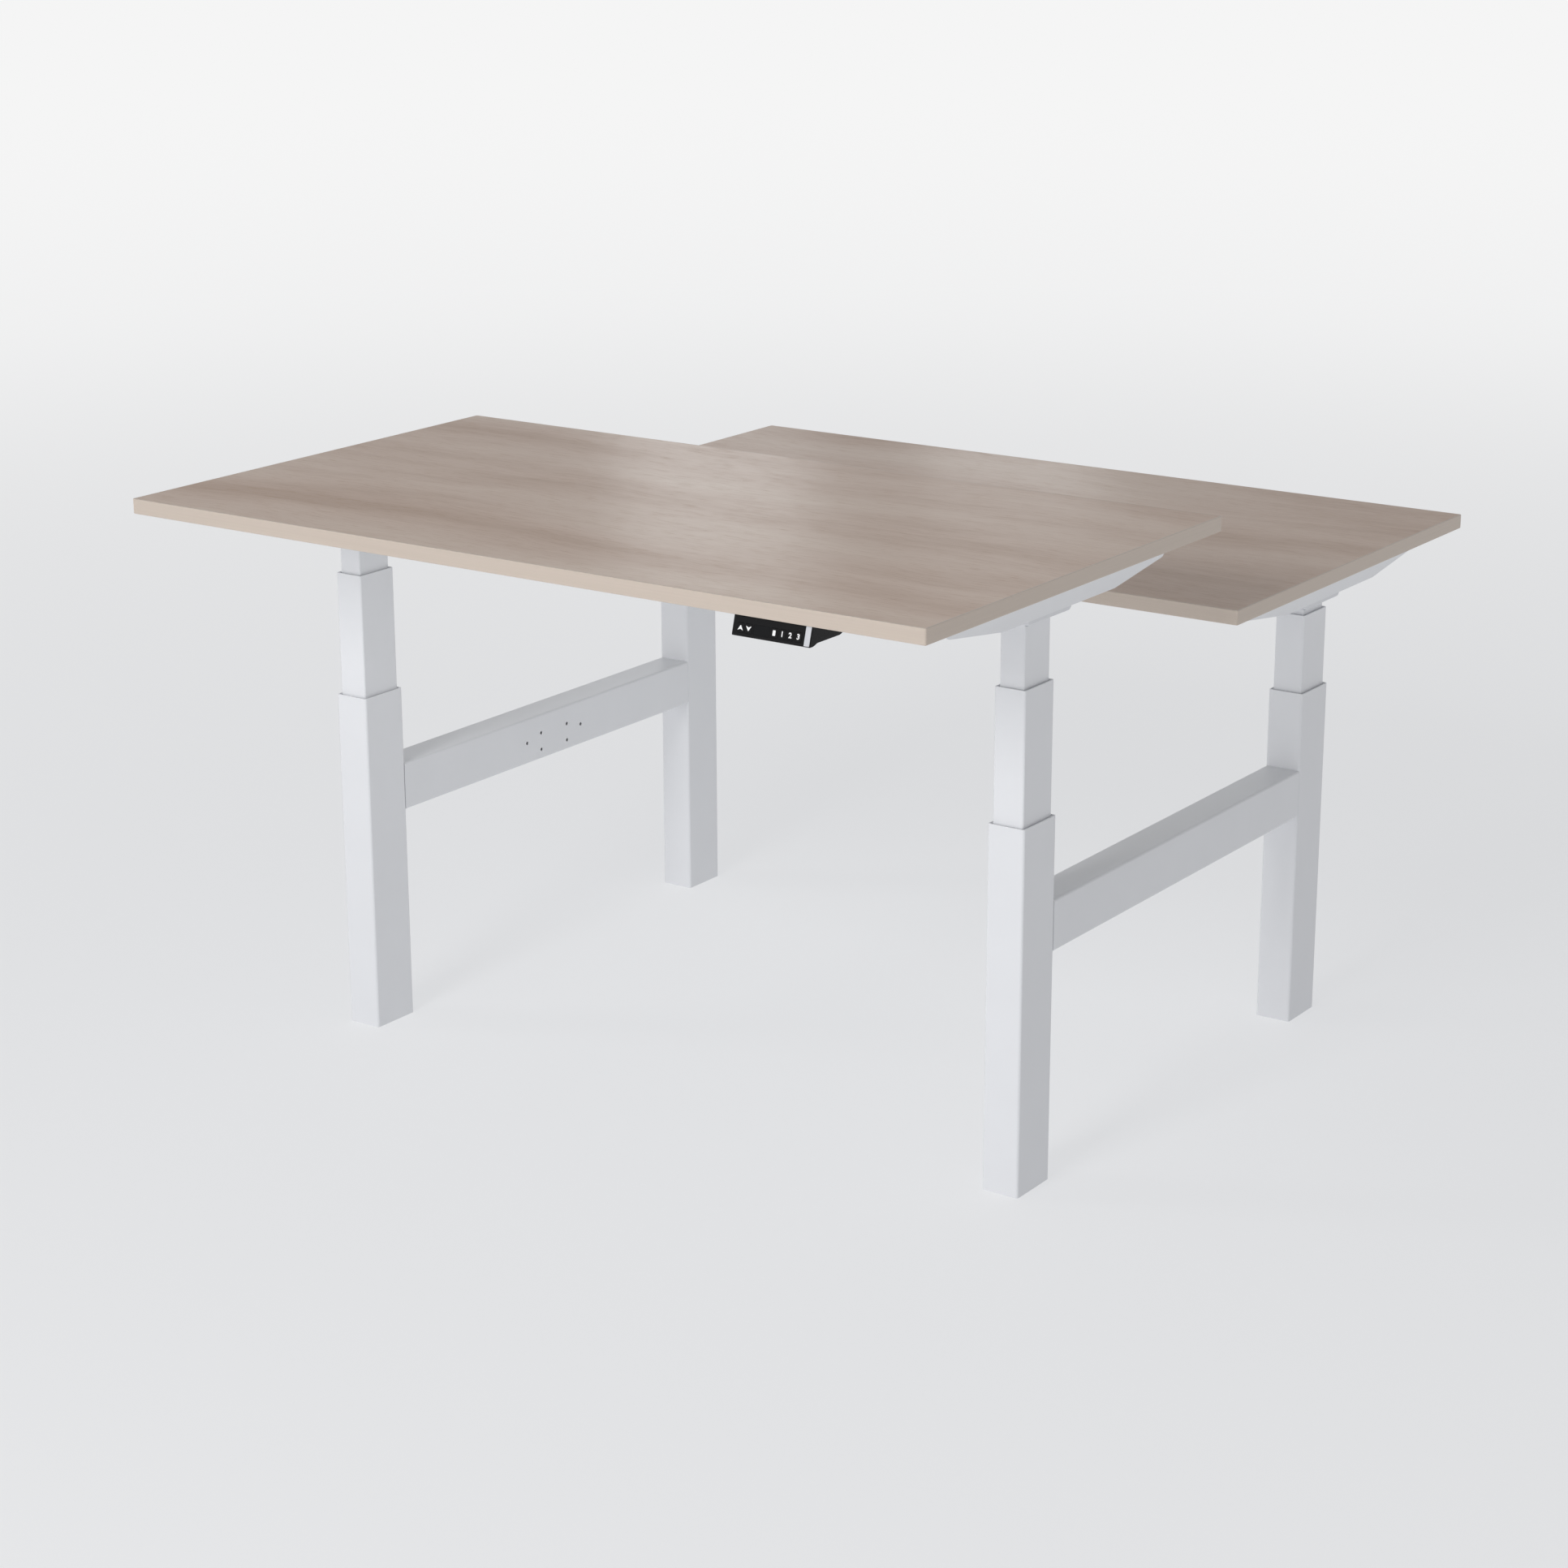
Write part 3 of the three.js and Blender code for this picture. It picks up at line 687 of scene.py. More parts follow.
@dataclass
class Board:
    """One top: a faced board with edging all round."""

    desk: Desk
    corner: float = 3 * MM
    edge: float = 1.2 * MM
    edging: float = 2.0 * MM

    def build(self, finishes: Finishes) -> None:
        """Builds and dresses the board.

        Args:
            finishes: The materials.
        """
        node = f"{self.desk.value}_top"
        low, high = corners_of(node)
        size = high - low
        middle = (low + high) / 2
        outline = round_rectangle(size.x, size.y, self.corner, steps=9)
        sides = soft_steps(size.z, self.edge, steps=5)
        pairs = [(self.edging, 0.0), *sides, (self.edging, size.z)]
        rings = [flat_ring(inset(outline, gap), z) for gap, z in pairs]
        face, edging, backing = range(3)
        slots = [backing] + [edging] * (len(rings) - 1) + [face]
        Draft().skin(rings, slots=slots).piece(
            f"{self.desk.value}_oak_top", BODY_OF[node], "oak_laminate", finishes.oak[self.desk],
            finishes.edge, finishes.backing, replaces=[node], place=shift(middle.x, middle.y, low.z))


@dataclass
class Column:
    """One three-stage lifting column, from the floor to the arm under the top."""

    desk: Desk
    end: End
    wall: float = 2 * MM
    corners: Point = (4 * MM, 3 * MM, 2.5 * MM)
    lip: float = 0.6 * MM
    plate: float = 6 * MM
    post_radius: float = 13.5 * MM
    post_bore: float = 10.5 * MM
    post_drop: float = 36 * MM

    def node(self, part: str) -> str:
        """Name of one of the column's nodes."""
        return f"{self.desk.value}_{self.end.value}_{part}"

    def tube(self, part: str, corner: float, finish: bpy.types.Material, foot: bool = False) -> None:
        """Builds one tube with a softened mouth.

        Args:
            part: The tube's part name.
            corner: Radius of its corners.
            finish: Its material.
            foot: Whether a base plate closes it.
        """
        node = self.node(part)
        low, high = corners_of(node)
        size = high - low
        middle = (low + high) / 2
        outside = round_rectangle(size.x, size.y, corner)
        inside = inset(outside, self.wall)
        walls = [flat_ring(inset(outside, gap), z) for gap, z in soft_steps(size.z, self.lip, steps=3)]
        floor = self.plate if foot else self.lip
        mouth = inset(inside, -self.lip / 2)
        bore = [flat_ring(mouth, size.z), flat_ring(inside, size.z - self.lip), flat_ring(inside, floor)]
        draft = Draft()
        if foot:
            draft.skin(walls + bore)
            top = size.z - self.post_drop
            post = [flat_ring(circle(radius), z) for radius, z in (
                (self.post_bore, self.plate), (self.post_radius, self.plate), (self.post_radius, top),
                (self.post_bore, top))]
            draft.skin(post, loop=True)
        else:
            draft.skin(walls + bore, loop=True)
        draft.piece(f"{node}_shell", BODY_OF[node], "powder_coat", finish, replaces=[node],
                    place=shift(middle.x, middle.y, low.z))

    def build(self, finishes: Finishes) -> None:
        """Builds the three tubes and dresses what slides and turns inside them.

        Args:
            finishes: The materials.
        """
        for part, corner in zip(("outer_tube", "middle_tube", "inner_tube"), self.corners):
            self.tube(part, corner, finishes.frame, foot=part == "outer_tube")
        for part in ("lower_glide", "upper_glide"):
            dress(self.node(part), finishes.glide)
        for part in ("screw_sleeve", "lift_screw"):
            dress(self.node(part), finishes.steel)


@dataclass
class Arm:
    """A support arm with its gear motor: a folded channel screwed under the top.

    A screw or washer is given by its radius and height, and an inset by its distances in X and Y.
    """

    desk: Desk
    end: End
    sheet: float = 2.5 * MM
    bend: float = 4 * MM
    inner_bend: float = 2 * MM
    bend_steps: int = 5
    tip_depth: float = 33 * MM
    flat_length: float = 305 * MM
    tip_round: float = 12 * MM
    screw_inset: float = 40 * MM
    screw: Flat = (6.5 * MM, 3.4 * MM)
    washer: Flat = (8.775 * MM, 1.2 * MM)
    washer_edge: float = 0.3 * MM
    head_length: float = 119 * MM
    head_edge: float = 2.5 * MM
    head_slope: float = 5 * MM
    head_rounds: Flat = (4 * MM, 2 * MM)
    head_screw: Flat = (3.2 * MM, 2.0 * MM)
    head_screw_inset: Flat = (7 * MM, 8 * MM)
    motor_radius: float = 22 * MM
    motor_sink: float = 2 * MM
    motor_boss: float = 8 * MM

    def depth_at(self, y: float, low: Vector, high: Vector) -> float:
        """Depth of the channel at a place along it.

        Args:
            y: The place.
            low: Lowest corner of the arm.
            high: Highest corner of the arm.

        Returns:
            How far the side walls hang below the top.
        """
        middle = (low.y + high.y) / 2
        reach = (high.y - low.y) / 2
        out = max(0.0, abs(y - middle) - self.flat_length / 2)
        deep = high.z - low.z
        depth = deep - (deep - self.tip_depth) * out / (reach - self.flat_length / 2)
        to_tip = reach - abs(y - middle)
        if to_tip < self.tip_round:
            left = self.tip_round - to_tip
            depth -= self.tip_round - math.sqrt(self.tip_round ** 2 - left ** 2)
        return depth

    def channel(self, finishes: Finishes) -> None:
        """Builds the folded channel and its screws.

        Args:
            finishes: The materials.
        """
        node = f"{self.desk.value}_{self.end.value}_support_arm"
        low, high = corners_of(node)
        half = (high.x - low.x) / 2
        centre = (low.x + high.x) / 2
        turns = [QUARTER * step / self.bend_steps for step in range(self.bend_steps + 1)]
        near_tip = [self.tip_round * (1 - math.cos(turn)) for turn in turns]
        span = high.y - low.y
        flat = [(span - self.flat_length) / 2, (span + self.flat_length) / 2]
        stations = near_tip + flat + [span - gap for gap in reversed(near_tip)]
        rings: List[Ring] = []
        for station in stations:
            y = low.y + station
            depth = self.depth_at(y, low, high)
            outer = self.bent(half, self.bend, depth)
            inner = self.bent(half - self.sheet, self.inner_bend, depth, self.sheet)
            rings.append([(centre + x, y, high.z + z) for x, z in outer + list(reversed(inner))])
        Draft().skin(rings).piece(
            f"{node}_channel", BODY_OF[node], "powder_coat", finishes.frame, replaces=[node])
        screws = Draft()
        radius, thick = self.washer
        for y in (low.y + self.screw_inset, high.y - self.screw_inset):
            at = shift(centre, y, high.z - self.sheet) @ POINTING_DOWN
            screws.block(circle(radius, 24), thick, self.washer_edge, at, steps=2)
            screws.screw(*self.screw, at @ shift(0, 0, thick))
        screws.piece(f"{node}_screws", BODY_OF[node], "screw_steel", finishes.zinc)

    def bent(self, half: float, bend: float, depth: float, drop: float = 0.0) -> List[Flat]:
        """One side of a folded sheet in section, from the left wall's foot over the web to the right's.

        Args:
            half: Half its width.
            bend: Radius of its two bends.
            depth: Depth of its walls.
            drop: How far its web lies below the top.

        Returns:
            Points across and up.
        """
        left: List[Flat] = [(-half, -depth)]
        for step in range(self.bend_steps + 1):
            angle = QUARTER * step / self.bend_steps
            left.append((-half + bend * (1 - math.cos(angle)), -drop - bend * (1 - math.sin(angle))))
        return left + [(-x, z) for x, z in reversed(left)]

    def motor(self, finishes: Finishes) -> None:
        """Builds the gear head and the motor that lies in the channel behind it.

        Args:
            finishes: The materials.
        """
        node = f"{self.desk.value}_{self.end.value}_gear_motor"
        low, high = corners_of(node)
        size = high - low
        centre = (low.x + high.x) / 2
        length = self.head_length
        shoulder = length - self.head_slope
        nose, corner = self.head_rounds
        side = soft_outline([
            (0, 0, nose), (shoulder, 0, corner), (length, self.head_slope, corner),
            (length, size.z, corner), (0, size.z, corner)])
        rings: List[Ring] = []
        for gap, x in soft_steps(size.x, self.head_edge):
            rings.append([(centre - size.x / 2 + x, low.y + y, low.z + z) for y, z in inset(side, gap)])
        Draft().skin(rings).piece(
            f"{node}_gear_head", BODY_OF[node], "motor_casting", finishes.casting, replaces=[node])
        radius = self.motor_radius
        axis = shift(centre, low.y + length - self.head_slope, high.z - self.motor_sink - radius)
        run = size.y - length + self.head_slope
        cap = run - self.motor_boss
        # The can from the head to its rolled rim, and then the bearing boss on its end cap.
        can = [(0.4 * radius, 0.0), (0.8 * radius, 0.0), (radius - 1 * MM, 0.0), (radius - 1 * MM, 10 * MM),
               (radius, 10.5 * MM), (radius, cap - 3 * MM), (radius - 1 * MM, cap - 0.8 * MM),
               (radius - 3 * MM, cap), (0.64 * radius, cap), (0.62 * radius, cap + 0.5 * MM),
               (0.62 * radius, run - 1 * MM), (0.58 * radius, run), (0.2 * radius, run),
               (0.18 * radius, run - 2 * MM)]
        Draft().turned(can, axis @ Matrix.Rotation(-QUARTER, 4, "X"), steps=40).piece(
            f"{node}_can", BODY_OF[node], "motor_casting", finishes.zinc)
        screws = Draft()
        in_x, in_y = self.head_screw_inset
        for x in (-1, 1):
            for y in (in_y, shoulder - in_y):
                at = shift(centre + x * (size.x / 2 - in_x), low.y + y, low.z) @ POINTING_DOWN
                screws.screw(*self.head_screw, at)
        screws.piece(f"{node}_screws", BODY_OF[node], "screw_steel", finishes.zinc)

    def build(self, finishes: Finishes) -> None:
        """Builds the arm and its motor."""
        self.channel(finishes)
        self.motor(finishes)


@dataclass
class TieBeam:
    """A beam between the near and the far column of one end, drilled on its inner face."""

    end: End
    wall: float = 2 * MM
    corner: float = 4 * MM
    hole_radius: float = 3 * MM
    hole_drop: float = 8 * MM
    drill_length: float = 6 * MM
    pair_offset: float = 35 * MM
    pair_spacing: float = 29 * MM
    single_offset: float = 73 * MM
    single_rise: float = 5 * MM

    def holes(self, inner: float, wall_side: float, middle: Vector) -> Draft:
        """Builds the drills for the accessory holes.

        Args:
            inner: X of the beam's inner face.
            wall_side: 1 where the beam lies on that face's +X side, or -1.
            middle: Centre of the beam.

        Returns:
            The drills in one draft.
        """
        drills = Draft()
        half = self.pair_spacing / 2
        turn = Matrix.Rotation(QUARTER, 4, "Y")
        spots = [(self.pair_offset, half), (self.pair_offset, -half),
                 (self.single_offset, self.single_rise)]
        x = inner + wall_side * self.wall / 2 - self.drill_length / 2
        for side in (-1, 1):
            for y, z in spots:
                at = shift(x, middle.y + side * y, middle.z - self.hole_drop + z)
                drill = [(self.hole_radius, 0.0), (self.hole_radius, self.drill_length)]
                drills.turned(drill, at @ turn, steps=24)
        return drills

    def build(self, finishes: Finishes) -> None:
        """Builds and drills the beam.

        Args:
            finishes: The materials.
        """
        node = f"{self.end.value}_tie_beam"
        low, high = corners_of(node)
        middle = (low + high) / 2
        size = high - low
        outside = round_rectangle(size.x, size.z, self.corner)
        inside = inset(outside, self.wall)
        rows = [(outside, low.y), (outside, high.y), (inside, high.y), (inside, low.y)]
        rings = [[(middle.x + x, y, middle.z + z) for x, z in outline] for outline, y in rows]
        inner, wall_side = (high.x, -1) if self.end is End.LEFT else (low.x, 1)
        Draft().skin(rings, loop=True).piece(
            f"{node}_tube", BODY_OF[node], "powder_coat", finishes.frame, replaces=[node],
            cutters=[self.holes(inner, wall_side, middle)])


@dataclass
class Rail:
    """A tube between the two arms of a desk, with a screwed plate at each end.

    A screw is given by its radius and height.
    """

    desk: Desk
    name: str
    wall: float = 2 * MM
    corner: float = 3 * MM
    plate: float = 3 * MM
    plate_reach: float = 11 * MM
    plate_short: float = 1 * MM
    plate_corner: float = 3 * MM
    plate_edge: float = 0.5 * MM
    screw: Flat = (4 * MM, 2.4 * MM)

    def build(self, finishes: Finishes) -> None:
        """Builds the tube, its end plates and their screws.

        Args:
            finishes: The materials.
        """
        node = f"{self.desk.value}_{self.name}"
        low, high = corners_of(node)
        middle = (low + high) / 2
        size = high - low
        outside = round_rectangle(size.y, size.z, self.corner)
        inside = inset(outside, self.wall)
        rows = [(outside, low.x), (outside, high.x), (inside, high.x), (inside, low.x)]
        rings = [[(x, middle.y + y, middle.z + z) for y, z in outline] for outline, x in rows]
        Draft().skin(rings, loop=True).piece(
            f"{node}_tube", BODY_OF[node], "powder_coat", finishes.frame, replaces=[node])
        plates = Draft()
        screws = Draft()
        outline = round_rectangle(
            size.z - self.plate_short, size.y + 2 * self.plate_reach, self.plate_corner)
        for x, turn in ((low.x, QUARTER), (high.x, -QUARTER)):
            at = shift(x, middle.y, middle.z) @ Matrix.Rotation(turn, 4, "Y")
            plates.block(outline, self.plate, self.plate_edge, at, steps=2)
            for side in (-1, 1):
                spot = at @ shift(0, side * (size.y / 2 + self.plate_reach / 2), self.plate)
                screws.screw(*self.screw, spot)
        plates.piece(f"{node}_plates", BODY_OF[node], "powder_coat", finishes.frame)
        screws.piece(f"{node}_screws", BODY_OF[node], "screw_steel", finishes.zinc)


@dataclass
class ControlBox:
    """The moulded box under a top that drives its two motors.

    Three sizes run along X, Y and Z. The screw is given by its radius and height, and each blade of the
    mains inlet by its place in Y and Z.
    """

    desk: Desk
    corner: float = 8 * MM
    edge: float = 2.5 * MM
    seam: float = 0.5 * MM
    seam_height: float = 13 * MM
    inlet: Point = (16 * MM, 28 * MM, 20 * MM)
    inlet_corner: float = 3 * MM
    inlet_edge: float = 1 * MM
    blade: Point = (12 * MM, 2 * MM, 4 * MM)
    blade_corner: float = 0.6 * MM
    blade_edge: float = 0.4 * MM
    blade_back: float = 9.5 * MM
    blade_spots: Tuple[Flat, ...] = ((-7 * MM, -2 * MM), (0.0, 2.5 * MM), (7 * MM, -2 * MM))
    socket: Point = (14 * MM, 10 * MM, 9 * MM)
    socket_corner: float = 0.8 * MM
    socket_edge: float = 0.5 * MM
    socket_pitch: float = 20 * MM
    pin: Point = (0.8 * MM, 7 * MM, 0.8 * MM)
    pin_corner: float = 0.3 * MM
    pin_edge: float = 0.2 * MM
    pin_back: float = 6 * MM
    pin_pitch: float = 3 * MM
    ear: Point = (16 * MM, 16 * MM, 3 * MM)
    ear_corner: float = 5 * MM
    ear_edge: float = 0.6 * MM
    ear_inset: float = 30 * MM
    ear_tuck: float = 2 * MM
    ear_screw: Flat = (3.4 * MM, 2.2 * MM)

    def case(self, node: str, size: Vector, at: Matrix, finishes: Finishes) -> None:
        """Builds the case with its sunk inlet and sockets, and the contacts in them.

        Args:
            node: The node that the case stands for.
            size: Size of the case.
            at: Axes of the case at the middle of its underside.
            finishes: The materials.
        """
        outline = round_rectangle(size.x, size.y, self.corner, steps=8)
        pairs = soft_steps(size.z, self.edge)
        half = len(pairs) // 2
        groove = [(0.0, self.seam_height - self.seam), (self.seam, self.seam_height - 0.6 * self.seam),
                  (self.seam, self.seam_height + 0.6 * self.seam), (0.0, self.seam_height + self.seam)]
        rings = [flat_ring(inset(outline, gap), z) for gap, z in pairs[:half] + groove + pairs[half:]]
        deep, wide, tall = self.inlet
        cutters = [Draft().block(round_rectangle(2 * deep, wide, self.inlet_corner), tall, self.inlet_edge,
                                 shift(size.x / 2, 0, (size.z - tall) / 2))]
        contacts = Draft()
        wide, deep, tall = self.socket
        mouth = round_rectangle(wide, 2 * deep, self.socket_corner)
        pin = round_rectangle(self.pin[0], self.pin[1], self.pin_corner, 2)
        for index in (-1, 0, 1):
            x = index * self.socket_pitch
            spot = shift(x, size.y / 2, (size.z - tall) / 2)
            cutters.append(Draft().block(mouth, tall, self.socket_edge, spot))
            for place in (-1.5, -0.5, 0.5, 1.5):
                spot = shift(x + place * self.pin_pitch, size.y / 2 - self.pin_back, size.z / 2)
                contacts.block(pin, self.pin[2], self.pin_edge, spot, steps=2)
        blade = round_rectangle(self.blade[0], self.blade[1], self.blade_corner, 3)
        for y, z in self.blade_spots:
            spot = shift(size.x / 2 - self.blade_back, y, size.z / 2 + z)
            contacts.block(blade, self.blade[2], self.blade_edge, spot, steps=2)
        Draft().skin(rings).piece(f"{node}_case", BODY_OF[node], "black_plastic", finishes.satin_black,
                                  replaces=[node], place=at, cutters=cutters)
        contacts.piece(f"{node}_contacts", BODY_OF[node], "screw_steel", finishes.zinc, place=at)

    def build(self, finishes: Finishes, place: Matrix) -> None:
        """Builds the case, its ears and their screws.

        Args:
            finishes: The materials.
            place: Where the desk's own axes are, with the user on its -Y side.
        """
        node = f"{self.desk.value}_control_box"
        low, high = corners_of(node)
        size = high - low
        local = place.inverted() @ ((low + high) / 2)
        at = place @ shift(local.x, local.y, -size.z)
        self.case(node, size, at, finishes)
        ears = Draft()
        screws = Draft()
        wide, deep, thick = self.ear
        outline = round_rectangle(wide, deep, self.ear_corner)
        for x in (-1, 1):
            for y in (-1, 1):
                out = size.y / 2 + deep / 2 - self.ear_tuck
                spot = shift(x * (size.x / 2 - self.ear_inset), y * out, size.z - thick)
                ears.block(outline, thick, self.ear_edge, spot, steps=2)
                screws.screw(*self.ear_screw, spot @ shift(0, y * self.ear_tuck, 0) @ POINTING_DOWN)
        ears.piece(f"{node}_ears", BODY_OF[node], "black_plastic", finishes.satin_black, place=at)
        screws.piece(f"{node}_screws", BODY_OF[node], "screw_steel", finishes.zinc, place=at)


@dataclass
class Handset:
    """The control under a top's front edge: a tilted glossy face with keys, and a housing behind it.

    A key's sizes run along the face, up it and into it. The pale strip that paints a highlight at the end
    of the face and the window are given by their ends along the face, the arrow by half its width, half
    its height and its notch, with the roundings of its feet, fork and tip, and the store mark by its
    width, height and corner.
    """

    desk: Desk
    length: float = 84 * MM
    height: float = 26 * MM
    rear_height: float = 14 * MM
    rear_slope: float = 18 * MM
    face_height: float = 29 * MM
    tilt: float = math.radians(16)
    bezel: float = 10 * MM
    edge: float = 1.2 * MM
    key: Point = (10.4 * MM, 13 * MM, 5 * MM)
    key_corner: float = 1.5 * MM
    key_edge: float = 0.45 * MM
    key_proud: float = 0.4 * MM
    key_gap: float = 0.3 * MM
    key_travel: float = 1.0 * MM
    key_drop: float = 3 * MM
    pocket_corner: float = 1.8 * MM
    pocket_edge: float = 0.1 * MM
    strip: Flat = (52.8 * MM, 61.4 * MM)
    strip_short: float = 2.4 * MM
    strip_thick: float = 0.5 * MM
    strip_corner: float = 0.6 * MM
    strip_edge: float = 0.2 * MM
    window: Flat = (-29 * MM, -3 * MM)
    window_height: float = 14 * MM
    window_corner: float = 1.2 * MM
    window_cut: float = 2 * MM
    window_sink: float = 0.6 * MM
    pane_gap: float = 0.4 * MM
    pane_thick: float = 0.55 * MM
    pane_corner: float = 1.0 * MM
    pane_edge: float = 0.12 * MM
    print_depth: float = 0.06 * MM
    arrow: Point = (4.5 * MM, 3.7 * MM, 2.1 * MM)
    arrow_rounds: Point = (0.6 * MM, 0.4 * MM, 0.8 * MM)
    store_mark: Point = (4.4 * MM, 7.4 * MM, 0.9 * MM)
    digit_size: float = 10 * MM
    digit_weight: float = 0.3 * MM
    legends: Dict[str, Legend] = field(default_factory=lambda: {
        "up_key": Legend.UP, "down_key": Legend.DOWN, "memory_key_1": Legend.STORE,
        "memory_key_2": Legend.ONE, "memory_key_3": Legend.TWO, "memory_key_4": Legend.THREE})

    def face(self, place: Matrix, centre: Vector) -> Matrix:
        """Axes of the face: X to the right, Y up the face and Z out of it.

        Args:
            place: The desk's own axes.
            centre: Middle of the face's top edge, in those axes.

        Returns:
            The matrix of the face's middle.
        """
        drop = self.face_height / 2
        at = shift(centre.x, centre.y - drop * math.tan(self.tilt), -drop)
        return place @ at @ Matrix.Rotation(QUARTER - self.tilt, 4, "X")

    def mark(self, legend: Legend) -> Draft:
        """Builds the print of a key, flat on z = 0.

        Args:
            legend: What is printed.

        Returns:
            The print as a draft.
        """
        if legend is Legend.STORE:
            outline = round_rectangle(*self.store_mark)
        elif legend in (Legend.UP, Legend.DOWN):
            half, tall, notch = self.arrow
            foot, fork, tip = self.arrow_rounds
            outline = soft_outline([
                (-half, -tall, foot), (0, -tall + notch, fork), (half, -tall, foot), (0, tall, tip)])
            if legend is Legend.DOWN:
                outline = [(-x, -y) for x, y in outline]
        else:
            return self.digit(legend.value)
        return Draft().skin([flat_ring(outline, z) for z in (0.0, self.print_depth)])

    def digit(self, value: str) -> Draft:
        """Builds a printed digit, flat on z = 0.

        Args:
            value: The digit.

        Returns:
            The print as a draft.
        """
        words = bpy.data.curves.new(f"print_{value}", "FONT")
        words.body = value
        words.size = self.digit_size
        words.align_x = "CENTER"
        words.align_y = "CENTER"
        words.extrude = self.print_depth / 2
        words.offset = self.digit_weight
        words.resolution_u = 4
        holder = bpy.data.objects.new("print_holder", words)
        bpy.context.scene.collection.objects.link(holder)
        graph = bpy.context.evaluated_depsgraph_get()
        mesh = bpy.data.meshes.new_from_object(holder.evaluated_get(graph))
        mesh.transform(shift(0, 0, self.print_depth / 2))
        draft = Draft()
        draft.mesh.from_mesh(mesh)
        bmesh.ops.remove_doubles(draft.mesh, verts=draft.mesh.verts, dist=WELD)
        bpy.data.objects.remove(holder)
        bpy.data.curves.remove(words)
        bpy.data.meshes.remove(mesh)
        return draft

    def housing(self, node: str, width: float, place: Matrix, centre: Vector, finishes: Finishes) -> None:
        """Builds the housing, with pockets for the keys and the window.

        Args:
            node: The node that the housing stands for.
            width: Its width.
            place: The desk's own axes.
            centre: Middle of the face's top edge, in those axes.
            finishes: The materials.
        """
        lean = self.face_height * math.tan(self.tilt)
        # The side view, from the housing's rear over the face and back, with the reach of each rounding.
        side = soft_outline([
            (self.length, 0, 0), (0, 0, 0.6 * MM), (-lean, -self.face_height, 3 * MM),
            (self.bezel - lean, -self.face_height, 3 * MM), (self.bezel, -self.height, 3 * MM),
            (self.length - self.rear_slope, -self.height, 5 * MM),
            (self.length, -self.rear_height, 4 * MM)])
        rings: List[Ring] = []
        for gap, x in soft_steps(width, self.edge):
            rings.append([(x - width / 2, y, z) for y, z in inset(side, gap)])
        at_face = self.face(place, centre)
        onto_face = (at_face.inverted() @ place @ Matrix.Translation(centre)).inverted()
        sunk = self.key[2] - self.key_proud + self.key_travel + self.key_gap
        pocket = round_rectangle(
            self.key[0] + 2 * self.key_gap, self.key[1] + 2 * self.key_gap, self.pocket_corner)
        cutters: List[Draft] = []
        for x in self.key_places(at_face).values():
            spot = onto_face @ shift(x, -self.key_drop, -sunk)
            cutters.append(Draft().block(pocket, 2 * sunk, self.pocket_edge, spot, steps=1))
        glass = round_rectangle(self.window[1] - self.window[0], self.window_height, self.window_corner)
        spot = onto_face @ shift(sum(self.window) / 2, -self.key_drop, -self.window_sink)
        cutters.append(Draft().block(glass, self.window_cut, self.pocket_edge, spot, steps=1))
        Draft().skin(rings).piece(
            f"{node}_housing", BODY_OF[node], "black_plastic", finishes.gloss_black, replaces=[node],
            place=place @ Matrix.Translation(centre), cutters=cutters)

    def window_and_glint(self, node: str, at_face: Matrix, finishes: Finishes) -> None:
        """Builds the display window, and the pale strip at the end of the face that paints a highlight
        there.

        Args:
            node: The node that carries them.
            at_face: Axes of the face.
            finishes: The materials.
        """
        pane = round_rectangle(self.window[1] - self.window[0] - self.pane_gap,
                               self.window_height - self.pane_gap, self.pane_corner)
        Draft().block(pane, self.pane_thick, self.pane_edge).piece(
            f"{node}_window", BODY_OF[node], "black_plastic", finishes.window,
            place=at_face @ shift(sum(self.window) / 2, -self.key_drop, -self.window_sink))
        # A pale strip that paints the highlight running down the end of the face.
        glint_outline = round_rectangle(
            self.strip[1] - self.strip[0], self.face_height - self.strip_short, self.strip_corner)
        Draft().block(glint_outline, self.strip_thick, self.strip_edge).piece(
            f"{node}_end_strip_painted_highlight", BODY_OF[node], "black_plastic", finishes.painted_glint_finish,
            place=at_face @ shift(sum(self.strip) / 2, 0, 0))

    def build(self, finishes: Finishes, place: Matrix) -> None:
        """Builds the housing, the window, the strip of painted highlight, the keys and their print.

        Args:
            finishes: The materials.
            place: Where the desk's own axes are, with the user on its -Y side.
        """
        node = f"{self.desk.value}_handset"
        low, high = (place.inverted() @ corner for corner in corners_of(node))
        centre = Vector(((low.x + high.x) / 2, max(low.y, high.y) - self.length, 0.0))
        at_face = self.face(place, centre)
        self.housing(node, abs(high.x - low.x), place, centre, finishes)
        self.window_and_glint(node, at_face, finishes)
        for name, x in self.key_places(at_face).items():
            self.press_key(name, at_face @ shift(x, -self.key_drop, 0), finishes)

    def key_places(self, at_face: Matrix) -> Dict[str, float]:
        """Places of the keys along the face.

        Args:
            at_face: Axes of the face.

        Returns:
            The X of each key's middle, by its name.
        """
        places: Dict[str, float] = {}
        for name in self.legends:
            low, high = corners_of(f"{self.desk.value}_{name}")
            places[name] = (at_face.inverted() @ ((low + high) / 2)).x
        return places

    def press_key(self, name: str, place: Matrix, finishes: Finishes) -> None:
        """Builds one key and its print.

        Args:
            name: The key's name.
            place: Axes of the face at the key's middle.
            finishes: The materials.
        """
        node = f"{self.desk.value}_{name}"
        wide, tall, deep = self.key
        cap = Draft().block(round_rectangle(wide, tall, self.key_corner), deep, self.key_edge).piece(
            f"{node}_cap", BODY_OF[node], "key_plastic", finishes.gloss_black, replaces=[node],
            place=place @ shift(0, 0, self.key_proud - deep))
        self.mark(self.legends[name]).piece(
            f"{cap.name}_print", BODY_OF[node], "key_plastic", finishes.print_white,
            place=place @ shift(0, 0, self.key_proud))


